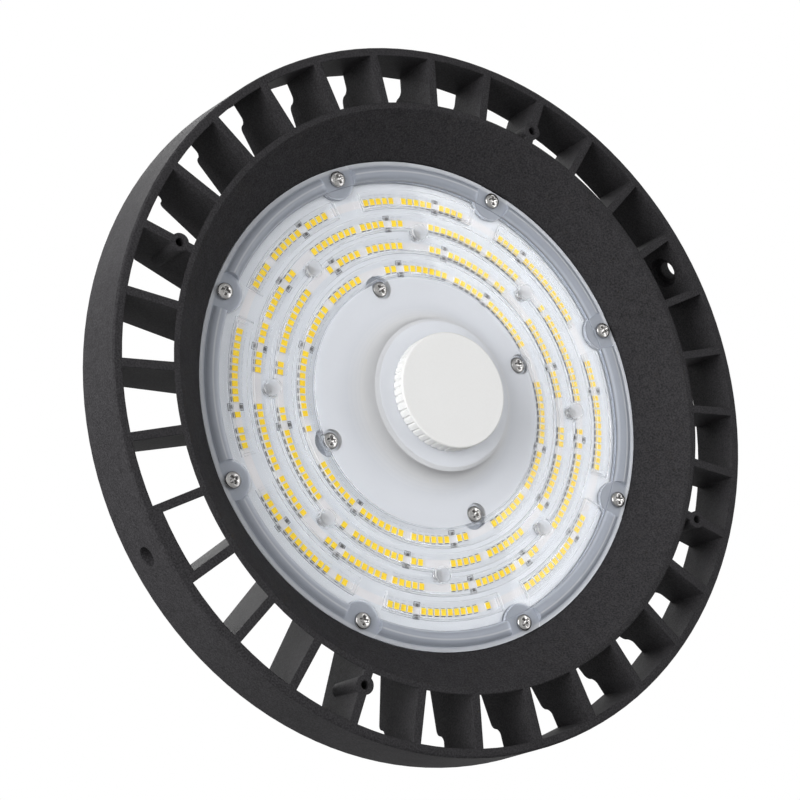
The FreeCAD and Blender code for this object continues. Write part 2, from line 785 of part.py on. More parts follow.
# Chips along each row. Each row has runs of equal length, and a run is read in the turning direction
# from its start, given in pitches before its middle: L is a chip, R a place with two resistors, a dot an
# empty place and a dash a short extra gap.
chip_rows = {
    "outer_row_chips": ("outer_row_radius", 22.5, 7.5, (
        "LLLLL.LLLLLRLLLL", "LLLLRLLLLLLLLLLL", "LLLLRLLLLLLLLLLL", ".LLLRLLLLLLLLLLL",
        "L.LLLLLLLLLRLLLL", "LL.LLLLLLLLRLLLL", "LLL.LRLLLLLLLLLL", "LLLL.LLLLLLRLLLL")),
    "second_row_chips": ("second_row_radius", 0.0, 7.18, (
        "LLLLLLLL-LLLLRLL", "LLLLLLLLL-LLLLLL", ".L-LLLLLLLLLLLLL", "LRL-LLLLLLLLLLLL",
        "LLRL-LLLLLLLRLLL", "LLLLL-LLLLLLLRLL", "LLLLLL-LLLLLLLLL", "LLLRLLL-LLLLLRLL")),
    "third_row_chips": ("third_row_radius", 0.0, 6.0, (
        "LRLLLL.LLLLLL", "LLRLLLLLLL.LL", ".LLLLLLLRLLLL", "LLL.LLLLLLLRL",
        "LLLLLLL.LLLLL", "LLRLLLLLLLL.L", "LLLLLLLLLLRLL", "LL.LLLLLLLLLL")),
    "inner_row_chips": ("inner_row_radius", 45.0, 12.0, (
        "LLRLLLLLLL.LLLLLRLLLLLLLL", ".LLLLLLLLLRLLLLLL.LLLLLLL",
        "LLRLLLLLL.LLLLLLLRLLLLLLL", "L.LLLLLLLLLRLLLLLL.LLLLLL")),
}


def slot_angles(radius, first_middle, run_start, runs, letter):
    """Angles of the places in a row that hold the given letter."""
    pitch = math.degrees(value("chip_pitch") / radius)
    angles = []
    for number, run in enumerate(runs):
        angle = first_middle + 360 / len(runs) * number - run_start * pitch
        for mark in run:
            if mark == letter:
                angles.append(angle)
            angle += pitch * (value("chip_short_gap") if mark == "-" else 1)
    return angles


def board_box(radius, angle, length, width, thickness):
    """A flat box on the front of the board, its length along the radius."""
    base = Vector(radius - length / 2, -width / 2, value("deck_height - board_thickness") - thickness)
    box = Part.makeBox(length, width, thickness, base)
    box.rotate(Vector(), Vector(0, 0, 1), angle)
    return box


def chip_row(label):
    alias, middle, start, runs = chip_rows[label]
    radius = value(alias)
    angles = slot_angles(radius, middle, start, runs, "L")
    measures = (value("chip_length"), value("chip_width"), value("chip_thickness"))
    return place_solids(label, [board_box(radius, angle, *measures) for angle in angles])


def row_resistors():
    measures = (value("resistor_length"), value("resistor_width"), value("resistor_thickness"))
    boxes = []
    for alias, middle, start, runs in chip_rows.values():
        for angle in slot_angles(value(alias), middle, start, runs, "R"):
            for side in (-1, 1):
                radius = value(alias) + side * value("resistor_offset")
                boxes.append(board_box(radius, angle, *measures))
    return place_solids("row_resistors", boxes)


def sensor_cap():
    """Round screw cap over the sensor port, with a grooved grip round its skirt."""
    body = new_body("sensor_cap")
    inside = "cap_face + cap_wall"
    ring_end = "hub_front - port_seal_thickness - port_flange_thickness - part_clearance"
    revolve(body, "shell", [
        ("0", "cap_face"),
        ("cap_radius - cap_edge", "cap_face"),
        ("cap_radius", "cap_face + cap_edge", "cap_edge * 0.3"),
        ("cap_radius", "hub_front - part_clearance"),
        ("cap_radius - cap_wall", "hub_front - part_clearance"),
        ("cap_radius - cap_wall", inside),
        ("port_neck_radius + port_fit + cap_wall", inside),
        ("port_neck_radius + port_fit + cap_wall", ring_end),
        ("port_neck_radius + port_fit", ring_end),
        ("port_neck_radius + port_fit", inside),
        ("0", inside)])
    sketch = new_sketch(body, "groove_section", "XY_Plane", height="cap_face + cap_groove_start")
    half = "cap_groove_half_width * (1 + 1 / cap_groove_depth)"
    draw_outline(sketch, [
        ("cap_radius - cap_groove_depth", "0"),
        ("cap_radius + 1", "-(%s)" % half),
        ("cap_radius + 1", half)])
    groove = body.newObject("PartDesign::Pocket", "groove")
    groove.Profile = sketch
    groove.Reversed = True
    bind(groove, "Length", "hub_front")
    ring_copies(body, "grooves", [groove], "cap_groove_count")
    return body


def port_heights():
    """Heights of the port's flange, neck and cavity, counted forwards from the hub."""
    flange_back = "hub_front - port_seal_thickness"
    flange_front = flange_back + " - port_flange_thickness"
    return flange_back, flange_front, "cap_face + cap_wall + port_neck_gap"


def sensor_port():
    body = new_body("sensor_port")
    flange_back, flange_front, neck_front = port_heights()
    body_radius = "hub_hole_radius - port_fit"
    revolve(body, "socket", [
        ("0", neck_front + " + port_cavity_depth"),
        ("port_cavity_radius", neck_front + " + port_cavity_depth"),
        ("port_cavity_radius", neck_front),
        ("port_neck_radius", neck_front),
        ("port_neck_radius", flange_front),
        ("port_flange_radius", flange_front),
        ("port_flange_radius", flange_back),
        (body_radius, flange_back),
        (body_radius, "port_body_back"),
        ("0", "port_body_back")])
    slot = contact_box(body, "SubtractiveBox", "slot", "thread_clearance")
    ring_copies(body, "slots", [slot], "contact_count")
    return body


def contact_box(body, kind, name, margin):
    """A blade across the radius, through the floor of the port's cavity."""
    _, _, neck_front = port_heights()
    front = neck_front + " + port_cavity_depth - contact_length"
    return primitive(body, kind, name,
                     ("contact_circle - contact_thickness / 2 - %s" % margin,
                      "-contact_width / 2 - %s" % margin, front),
                     Length="contact_thickness + 2 * %s" % margin,
                     Width="contact_width + 2 * %s" % margin,
                     Height="port_body_back + contact_tail - (%s)" % front)


def port_contacts():
    body = new_body("port_contacts")
    blade = contact_box(body, "AdditiveBox", "blade", "0")
    ring_copies(body, "blades", [blade], "contact_count")
    return body


def port_seal():
    body = new_body("port_seal")
    revolve(body, "ring", [
        ("hub_hole_radius", "hub_front - port_seal_thickness"),
        ("port_flange_radius", "hub_front - port_seal_thickness"),
        ("port_flange_radius", "hub_front"),
        ("hub_hole_radius", "hub_front")])
    return body


def hex_nut(label, place, radius, height, bore):
    body = new_body(label)
    primitive(body, "AdditivePrism", "hexagon", place, Circumradius=radius, Height=height)
    primitive(body, "SubtractiveCylinder", "bore", place, Radius=bore, Height=height)
    return body


def port_nut():
    return hex_nut("port_nut", ("0", "0", "hub_front + lens_thickness"), "port_nut_radius",
                   "port_nut_height", "hub_hole_radius - port_fit + thread_clearance")


def lead_grommet():
    """Soft bush in the hole through the deck, gripping both of its faces."""
    body = new_body("lead_grommet")
    outer = "lead_hole_radius - grommet_fit"
    lip = "lead_hole_radius + grommet_flange"
    back = "deck_height + deck_thickness"
    revolve(body, "bush", [
        ("grommet_bore_radius", "deck_height - grommet_lip"),
        (lip, "deck_height - grommet_lip"),
        (lip, "deck_height"),
        (outer, "deck_height"),
        (outer, back),
        (lip, back),
        (lip, back + " + grommet_lip"),
        ("grommet_bore_radius", back + " + grommet_lip")])
    return body


def driver_cover():
    """Cast cover of the driver drum, with a boss for the lifting eye and holes for the gland and vent."""
    body = new_body("driver_cover")
    base = "drum_top_height + cover_gasket_thickness"
    inside = "cover_top_height - cover_wall"
    eye_hole = "eye_shank_radius + eye_fit"
    revolve(body, "shell", [
        ("cover_gasket_inner_radius", base),
        ("drum_flange_radius", base),
        ("drum_flange_radius", base + " + cover_flange_thickness"),
        ("cover_foot_radius", base + " + cover_flange_thickness"),
        ("cover_shoulder_radius", "cover_shoulder_height"),
        ("cover_top_radius", "cover_top_height", "cover_bulge"),
        ("eye_boss_radius", "cover_top_height"),
        ("eye_boss_top_radius", "eye_boss_height"),
        (eye_hole, "eye_boss_height"),
        (eye_hole, inside),
        ("cover_top_radius - cover_wall / 2", inside),
        ("cover_shoulder_radius - cover_wall", "cover_shoulder_height - cover_wall / 2")])
    ear = ear_cylinder(body, "ear", base, "cover_flange_thickness")
    ring_copies(body, "ears", [ear], "cover_screw_count")
    hole = primitive(body, "SubtractiveCylinder", "screw_hole",
                     on_circle("cover_screw_circle", post_angle, base),
                     Radius="lens_screw_radius + screw_clearance", Height="cover_flange_thickness")
    ring_copies(body, "screw_holes", [hole], "cover_screw_count")
    primitive(body, "SubtractiveCylinder", "gland_hole", ("gland_circle", "0", inside),
              Radius="gland_neck_radius + thread_clearance", Height="cover_wall")
    primitive(body, "SubtractiveCylinder", "vent_hole", ("-gland_circle", "0", inside),
              Radius="vent_neck_radius + thread_clearance", Height="cover_wall")
    primitive(body, "SubtractiveCylinder", "lock_hole", ("0", "0", "lock_screw_height"),
              turn=radial_turn(270), Radius="lock_screw_radius + thread_clearance",
              Height="eye_boss_radius + 1")
    return body


def cover_gasket():
    body = new_body("cover_gasket")
    top = "drum_top_height + cover_gasket_thickness"
    revolve(body, "ring", [
        ("cover_gasket_inner_radius", "drum_top_height"),
        ("drum_flange_radius", "drum_top_height"),
        ("drum_flange_radius", top),
        ("cover_gasket_inner_radius", top)])
    ear = ear_cylinder(body, "ear", "drum_top_height", "cover_gasket_thickness")
    ring_copies(body, "ears", [ear], "cover_screw_count")
    hole = primitive(body, "SubtractiveCylinder", "screw_hole",
                     on_circle("cover_screw_circle", post_angle, "drum_top_height"),
                     Radius="lens_screw_radius + screw_clearance", Height="cover_gasket_thickness")
    ring_copies(body, "screw_holes", [hole], "cover_screw_count")
    return body


def cover_screws():
    seat = "drum_top_height + cover_gasket_thickness + cover_flange_thickness"
    place = on_circle("cover_screw_circle", post_angle, seat)
    return screws("cover_screws", place, "cover_screw_count", "lens", "cover_screw_length",
                  faces_front=False)


def lifting_eye():
    """Forged eye bolt: ring, tapered neck, collar on the cover's boss, and a shank through it."""
    body = new_body("lifting_eye")
    collar_top = "eye_boss_height + eye_collar_height"
    centre = collar_top + " + eye_wire_radius + eye_ring_radius - eye_root"
    primitive(body, "AdditiveCylinder", "shank", ("0", "0", "eye_boss_height - eye_shank_length"),
              Radius="eye_shank_radius", Height="eye_shank_length + eye_collar_height")
    primitive(body, "AdditiveCylinder", "collar", ("0", "0", "eye_boss_height"),
              Radius="eye_collar_radius", Height="eye_collar_height")
    primitive(body, "AdditiveCone", "neck", ("0", "0", collar_top), Radius1="eye_neck_radius",
              Radius2="eye_wire_radius", Height="eye_neck_height")
    primitive(body, "AdditiveTorus", "ring", ("0", "0", centre), turn=Rotation(Vector(1, 0, 0), 90),
              Radius1="eye_ring_radius", Radius2="eye_wire_radius")
    return body


def eye_washer():
    body = new_body("eye_washer")
    place = ("0", "0", "cover_top_height - cover_wall - washer_thickness")
    primitive(body, "AdditiveCylinder", "disc", place, Radius="washer_radius", Height="washer_thickness")
    primitive(body, "SubtractiveCylinder", "bore", place, Radius="eye_shank_radius + eye_fit",
              Height="washer_thickness")
    return body


def eye_nut():
    place = ("0", "0", "cover_top_height - cover_wall - washer_thickness - nut_height")
    return hex_nut("eye_nut", place, "nut_radius", "nut_height", "eye_shank_radius + thread_clearance")


def eye_lock_screw():
    """Grub screw in the side of the boss that keeps the eye from turning."""
    body = new_body("eye_lock_screw")
    primitive(body, "AdditiveCylinder", "grub", ("0", "-(eye_shank_radius + eye_fit)", "lock_screw_height"),
              turn=radial_turn(270), Radius="lock_screw_radius", Height="lock_screw_length")
    return body


def gland_body():
    body = new_body("gland_body")
    hex_top = "cover_top_height + gland_hex_height"
    primitive(body, "AdditiveCylinder", "neck",
              ("gland_circle", "0", "cover_top_height - gland_neck_depth"), Radius="gland_neck_radius",
              Height="gland_neck_depth + gland_hex_height + gland_thread_height")
    primitive(body, "AdditivePrism", "hexagon", ("gland_circle", "0", "cover_top_height"),
              Circumradius="gland_hex_radius", Height="gland_hex_height")
    primitive(body, "SubtractiveCylinder", "bore",
              ("gland_circle", "0", "cover_top_height - gland_neck_depth"), Radius="gland_bore_radius + gland_inlet",
              Height="gland_neck_depth + gland_hex_height + gland_thread_height")
    primitive(body, "SubtractiveCylinder", "seal_seat",
              ("gland_circle", "0", hex_top + " + gland_thread_height - gland_seal_depth"),
              Radius="gland_seal_radius + gland_fit", Height="gland_seal_depth")
    return body


def gland_nut():
    """Domed nut that squeezes the seal round whatever passes through."""
    body = new_body("gland_nut")
    base = "cover_top_height + gland_hex_height + part_clearance"
    hexagon_top = base + " + gland_nut_height"
    primitive(body, "AdditivePrism", "hexagon", ("gland_circle", "0", base),
              Circumradius="gland_nut_radius", Height="gland_nut_height")
    primitive(body, "AdditiveCone", "dome", ("gland_circle", "0", hexagon_top),
              Radius1="gland_nut_radius * cos(30)", Radius2="gland_dome_radius",
              Height="gland_dome_height")
    primitive(body, "SubtractiveCylinder", "thread", ("gland_circle", "0", base),
              Radius="gland_neck_radius + gland_fit", Height="gland_thread_height")
    primitive(body, "SubtractiveCylinder", "chamber", ("gland_circle", "0", base),
              Radius="gland_seal_radius + gland_fit",
              Height="gland_nut_height + gland_dome_height - gland_lip")
    primitive(body, "SubtractiveCylinder", "mouth", ("gland_circle", "0", base),
              Radius="gland_bore_radius + gland_fit", Height="gland_nut_height + gland_dome_height")
    return body


def gland_seal():
    body = new_body("gland_seal")
    base = "cover_top_height + gland_hex_height + gland_thread_height - gland_seal_depth"
    primitive(body, "AdditiveCylinder", "sleeve", ("gland_circle", "0", base),
              Radius="gland_seal_radius", Height="gland_seal_length")
    primitive(body, "SubtractiveCylinder", "bore", ("gland_circle", "0", base),
              Radius="gland_bore_radius", Height="gland_seal_length")
    return body


def gland_locknut():
    place = ("gland_circle", "0", "cover_top_height - cover_wall - gland_locknut_height")
    return hex_nut("gland_locknut", place, "gland_nut_radius", "gland_locknut_height",
                   "gland_neck_radius + thread_clearance")


def vent_plug():
    """Pressure vent with a round cap, beside the lifting eye."""
    body = new_body("vent_plug")
    rim = "vent_cap_height - vent_cap_slope"
    primitive(body, "AdditiveCylinder", "neck", ("-gland_circle", "0", "cover_top_height - vent_neck_depth"),
              Radius="vent_neck_radius", Height="vent_neck_depth + (%s) / 2" % rim)
    primitive(body, "AdditiveCylinder", "cap", ("-gland_circle", "0", "cover_top_height"),
              Radius="vent_cap_radius", Height=rim)
    primitive(body, "AdditiveCone", "cap_top", ("-gland_circle", "0", "cover_top_height + " + rim),
              Radius1="vent_cap_radius", Radius2="vent_cap_radius - vent_cap_slope",
              Height="vent_cap_slope")
    return body


def driver_board():
    body = new_body("driver_board")
    primitive(body, "AdditiveCylinder", "disc", ("0", "0", "driver_board_height"),
              Radius="driver_board_radius", Height="driver_board_thickness")
    hole = primitive(body, "SubtractiveCylinder", "hole",
                     on_circle("standoff_circle", corner_angle, "driver_board_height"),
                     Radius="board_screw_radius + screw_clearance", Height="driver_board_thickness")
    ring_copies(body, "holes", [hole], "standoff_count")
    return body


def board_standoffs():
    """Hexagonal spacers that carry the driver board above the drum's floor."""
    body = new_body("board_standoffs")
    base = "deck_height + deck_thickness"
    spacer = primitive(body, "AdditivePrism", "spacer", on_circle("standoff_circle", corner_angle, base),
                       Circumradius="standoff_radius", Height="driver_board_height - (%s)" % base)
    ring_copies(body, "spacers", [spacer], "standoff_count")
    depth = "(driver_screw_length - driver_board_thickness + 1)"
    bore = primitive(body, "SubtractiveCylinder", "bore",
                     on_circle("standoff_circle", corner_angle, "driver_board_height - " + depth),
                     Radius="board_screw_radius + thread_clearance", Height=depth)
    ring_copies(body, "bores", [bore], "standoff_count")
    return body


def driver_board_screws():
    place = on_circle("standoff_circle", corner_angle, "driver_board_height + driver_board_thickness")
    return screws("driver_board_screws", place, "standoff_count", "board", "driver_screw_length",
                  faces_front=False)


# Height of the face of the driver board that carries its parts.
parts_base = "driver_board_height + driver_board_thickness"


def centred_box(body, kind, name, place, length, width, height):
    """A box centred over a place and standing on it."""
    x, y, z = place
    return primitive(body, kind, name, ("(%s) - (%s) / 2" % (x, length), "(%s) - (%s) / 2" % (y, width), z),
                     Length=length, Width=width, Height=height)


def transformer_core():
    """Two E-shaped ferrite halves, seen as one frame round the winding."""
    body = new_body("transformer_core")
    place = ("0", "transformer_place", parts_base)
    centred_box(body, "AdditiveBox", "frame", place, "core_length", "core_width", "core_height")
    place = ("0", "transformer_place", parts_base + " + core_leg")
    centred_box(body, "SubtractiveBox", "window", place, "core_length - 2 * core_leg", "core_width",
                "core_height - 2 * core_leg")
    return body


def transformer_winding():
    """Wound bobbin inside the core's window."""
    body = new_body("transformer_winding")
    primitive(body, "AdditiveCylinder", "coil", ("0", "transformer_place", parts_base + " + core_leg"),
              Radius="winding_radius", Height="core_height - 2 * core_leg")
    return body


def capacitors():
    """Two electrolytic cans beside the transformer."""
    body = new_body("capacitors")
    can = primitive(body, "AdditiveCylinder", "can", ("capacitor_circle", "0", parts_base),
                    Radius="capacitor_radius", Height="capacitor_height")
    ring_copies(body, "cans", [can], "2")
    return body


def choke():
    """Ring choke lying on the driver board."""
    body = new_body("choke")
    primitive(body, "AdditiveTorus", "ring", ("0", "0", parts_base + " + choke_wire_radius"),
              Radius1="choke_radius", Radius2="choke_wire_radius")
    return body


def rectifier_plate():
    """Small aluminium plate that cools the driver's switches."""
    body = new_body("rectifier_plate")
    centred_box(body, "AdditiveBox", "plate", ("0", "-sink_place", parts_base), "sink_length",
                "sink_thickness", "sink_height")
    return body


def terminal_block():
    body = new_body("terminal_block")
    place = ("0", "-terminal_place", parts_base)
    centred_box(body, "AdditiveBox", "block", place, "terminal_length", "terminal_width",
                "terminal_height")
    for i in (-1, 0, 1):
        primitive(body, "SubtractiveCylinder", "clamp_%d" % (i + 2),
                  ("terminal_length * %d / 3" % i, "-terminal_place", parts_base + " + terminal_height / 2"),
                  Radius="terminal_hole_radius", Height="terminal_height")
    return body


builders = (
    heatsink_housing, lens_cover, lens_gasket, lens_screws, hub_screws, led_board, row_resistors,
    board_screws, sensor_cap, sensor_port, port_contacts, port_seal, port_nut, lead_grommet,
    driver_cover, cover_gasket, cover_screws, lifting_eye, eye_washer, eye_nut, eye_lock_screw,
    gland_body, gland_nut, gland_seal, gland_locknut, vent_plug, driver_board, board_standoffs,
    driver_board_screws, transformer_core, transformer_winding, capacitors, choke, rectifier_plate,
    terminal_block)


def failed_objects():
    """Names of objects whose last recompute failed."""
    return [item.Name for item in doc.Objects if "Invalid" in item.State or "Error" in item.State]


def build():
    fill_sheet()
    nodes = [builder() for builder in builders]
    nodes += [chip_row(label) for label in chip_rows]
    doc.recompute()
    failed = failed_objects()
    if failed:
        raise RuntimeError("failed: " + ", ".join(failed))
    for node in nodes:
        shape = node.Shape
        if shape.isNull() or not shape.isValid() or not shape.Solids:
            raise RuntimeError("bad shape: " + node.Label)
    os.makedirs("parts", exist_ok=True)
    for node in nodes:
        node.Shape.exportStep("parts/%s.step" % node.Label)
        print(node.Label, len(node.Shape.Solids), round(node.Shape.Volume, 1))


build()
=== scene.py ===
import math
import bmesh
import bpy
import numpy as np
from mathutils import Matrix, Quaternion, Vector


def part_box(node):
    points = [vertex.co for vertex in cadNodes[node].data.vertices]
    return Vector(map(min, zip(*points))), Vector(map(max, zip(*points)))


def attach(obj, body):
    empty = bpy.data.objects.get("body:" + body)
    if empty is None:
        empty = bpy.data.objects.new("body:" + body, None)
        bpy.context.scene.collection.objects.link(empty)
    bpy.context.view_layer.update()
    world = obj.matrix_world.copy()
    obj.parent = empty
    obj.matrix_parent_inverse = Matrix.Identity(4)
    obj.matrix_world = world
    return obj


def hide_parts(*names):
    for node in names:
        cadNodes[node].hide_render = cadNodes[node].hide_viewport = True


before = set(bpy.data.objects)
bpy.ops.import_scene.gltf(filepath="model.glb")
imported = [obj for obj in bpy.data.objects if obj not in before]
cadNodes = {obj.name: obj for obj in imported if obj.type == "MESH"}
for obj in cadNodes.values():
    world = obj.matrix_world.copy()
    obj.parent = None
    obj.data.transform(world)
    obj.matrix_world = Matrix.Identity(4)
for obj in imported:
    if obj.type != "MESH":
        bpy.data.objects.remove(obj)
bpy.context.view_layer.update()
print("frame loaded,", len(cadNodes), "nodes")


# Shader helpers: a material holds its Principled shader, groups put out masks and heights

def makeMaterial(name):
    material = bpy.data.materials.new(name)
    material.use_nodes = True
    tree = material.node_tree
    tree.nodes.clear()
    output = tree.nodes.new("ShaderNodeOutputMaterial")
    shader = tree.nodes.new("ShaderNodeBsdfPrincipled")
    tree.links.new(shader.outputs[0], output.inputs[0])
    return material, tree, shader


def addNode(tree, kind, inputs=None, **settings):
    # a node with its settings; an input gets a link where its value is a socket
    node = tree.nodes.new(kind)
    for key, value in settings.items():
        setattr(node, key, value)
    for key, value in (inputs or {}).items():
        if isinstance(value, bpy.types.NodeSocket):
            tree.links.new(value, node.inputs[key])
        else:
            node.inputs[key].default_value = value
    return node


def addMath(tree, operation, *values):
    return addNode(tree, "ShaderNodeMath", dict(enumerate(values)), operation=operation).outputs[0]


def addMix(tree, factor, first, second):
    # colour mix
    return addNode(tree, "ShaderNodeMix", {0: factor, 6: first, 7: second}, data_type="RGBA").outputs[2]


def mixVector(tree, factor, first, second):
    return addNode(tree, "ShaderNodeMix", {0: factor, 4: first, 5: second}, data_type="VECTOR").outputs[1]


def addRange(tree, value, low, high, outLow=0.0, outHigh=1.0):
    return addNode(tree, "ShaderNodeMapRange", {0: value, 1: low, 2: high, 3: outLow, 4: outHigh}).outputs[0]


def productOf(tree, first, *others):
    for other in others:
        first = addMath(tree, "MULTIPLY", first, other)
    return first


def largestOf(tree, first, *others):
    for other in others:
        first = addMath(tree, "MAXIMUM", first, other)
    return first


def restOf(tree, mask):
    # 1 minus the mask
    return addMath(tree, "SUBTRACT", 1.0, mask)


def newGroup(name, inputs, outputs):
    group = bpy.data.node_groups.new(name, "ShaderNodeTree")
    for socketName, value in inputs.items():
        socket = group.interface.new_socket(socketName, in_out="INPUT", socket_type="NodeSocketFloat")
        socket.default_value = value
    for socketName in outputs:
        group.interface.new_socket(socketName, in_out="OUTPUT", socket_type="NodeSocketFloat")
    return group, group.nodes.new("NodeGroupInput").outputs, group.nodes.new("NodeGroupOutput").inputs


def placeGroup(tree, group, **values):
    node = addNode(tree, "ShaderNodeGroup", node_tree=group)
    for key, value in values.items():
        node.inputs[key.replace("_", " ")].default_value = value
    return node.outputs


def objectPlace(tree):
    return addNode(tree, "ShaderNodeTexCoord").outputs["Object"]


def separated(tree, vector):
    return addNode(tree, "ShaderNodeSeparateXYZ", {0: vector}).outputs


def color(red, green, blue):
    return (red, green, blue, 1.0)


# Ranges of the noises that the finishes share: each pair is where a mask is 0 and where it is 1

surfaceLevels = {"speck": (0.35, 0.68), "gloss": (0.2, 0.8), "tone": (0.3, 0.7), "marks": (0.42, 0.72),
                 "grainDetail": 2.0, "patchDetail": 3.0, "markDetail": 5.0, "markScale": 14.0,
                 "markRoughness": 0.6, "bevelSamples": 4}


def grainGroup():
    # fine grain: small noise for the height, larger noise for the tone
    group, given, result = newGroup("fineGrain", {"Scale": 900.0, "Patch Scale": 30.0}, ("Height", "Tone"))
    place = objectPlace(group)
    for scaleName, detailName, resultName in (("Scale", "grainDetail", "Height"),
                                              ("Patch Scale", "patchDetail", "Tone")):
        noise = addNode(group, "ShaderNodeTexNoise",
                        {"Vector": place, "Scale": given[scaleName], "Detail": surfaceLevels[detailName]})
        group.links.new(noise.outputs[0], result[resultName])
    return group


def placeInLampGroup():
    # distance from the lamp's own axis and height along it in millimetres, and the angle round it as 0 to 1
    group, unused, result = newGroup("lampPlace", {}, ("Radius", "Turn", "Height"))
    x, y, z = separated(group, objectPlace(group))
    square = addMath(group, "ADD", addMath(group, "MULTIPLY", x, x), addMath(group, "MULTIPLY", y, y))
    group.links.new(addMath(group, "MULTIPLY", addMath(group, "SQRT", square), 1000.0), result["Radius"])
    turn = addMath(group, "ARCTAN2", y, x)
    group.links.new(addMath(group, "MULTIPLY_ADD", turn, 0.5 / math.pi, 0.5), result["Turn"])
    group.links.new(addMath(group, "MULTIPLY", z, 1000.0), result["Height"])
    return group


def handlingGroup():
    # dust and handling: a soft large noise, sharpened into a mask
    group, unused, result = newGroup("handlingMarks", {}, ("Mask",))
    noise = addNode(group, "ShaderNodeTexNoise",
                    {"Vector": objectPlace(group), "Scale": surfaceLevels["markScale"],
                     "Detail": surfaceLevels["markDetail"], "Roughness": surfaceLevels["markRoughness"]})
    group.links.new(addRange(group, noise.outputs[0], *surfaceLevels["marks"]), result["Mask"])
    return group


fineGrain = grainGroup()
lampPlace = placeInLampGroup()
handlingMarks = handlingGroup()


def bumpNormal(tree, shader, height, strength, depth, rounding=0.0):
    # height into the shader's normal, over a rounded edge where rounding is in metres
    inputs = {"Strength": strength, "Distance": depth, "Height": height}
    if rounding:
        bevel = addNode(tree, "ShaderNodeBevel", {"Radius": rounding}, samples=surfaceLevels["bevelSamples"])
        inputs["Normal"] = bevel.outputs[0]
    bump = addNode(tree, "ShaderNodeBump", inputs)
    tree.links.new(bump.outputs[0], shader.inputs["Normal"])


def seatMask(tree, seat):
    # 1 on the bare face under the LED board: within its radius and between its heights in millimetres
    place = placeGroup(tree, lampPlace)
    soft = seat["soft"]
    within = addRange(tree, place["Radius"], seat["radius"] + soft, seat["radius"] - soft)
    above = addRange(tree, place["Height"], seat["low"] - soft, seat["low"] + soft)
    below = addRange(tree, place["Height"], seat["high"] + soft, seat["high"] - soft)
    return productOf(tree, within, above, below)


def coatedMetal(name, values):
    # paint, plastic or metal: the tone is the specks times their share plus the patches times the rest,
    # the roughness goes halfway up its range with the grain and the other half with the handling marks
    material, tree, shader = makeMaterial(name)
    grain = placeGroup(tree, fineGrain, Scale=values["grain"], Patch_Scale=values["patch"])
    marks = placeGroup(tree, handlingMarks)
    speck = addRange(tree, grain["Height"], *surfaceLevels["speck"])
    patches = addMath(tree, "MULTIPLY", grain["Tone"], 1 - values["speck"])
    tone = addMath(tree, "MULTIPLY_ADD", speck, values["speck"], patches)
    paint = addMix(tree, tone, values["dark"], values["light"])
    if "seat" in values:
        paint = addMix(tree, seatMask(tree, values["seat"]), paint, values["seat"]["metal"])
    tree.links.new(paint, shader.inputs["Base Color"])
    low, high = values["roughness"]
    middle = (low + high) / 2
    grainRoughness = addRange(tree, grain["Height"], *surfaceLevels["gloss"], low, middle)
    roughness = addMath(tree, "MULTIPLY_ADD", marks["Mask"], high - middle, grainRoughness)
    tree.links.new(roughness, shader.inputs["Roughness"])
    shader.inputs["Metallic"].default_value = values.get("metallic", 0.0)
    shader.inputs["Specular IOR Level"].default_value = values.get("specular", 0.5)
    bumpNormal(tree, shader, grain["Height"], values["strength"], values["depth"],
               values.get("rounding", 0.0))
    return material


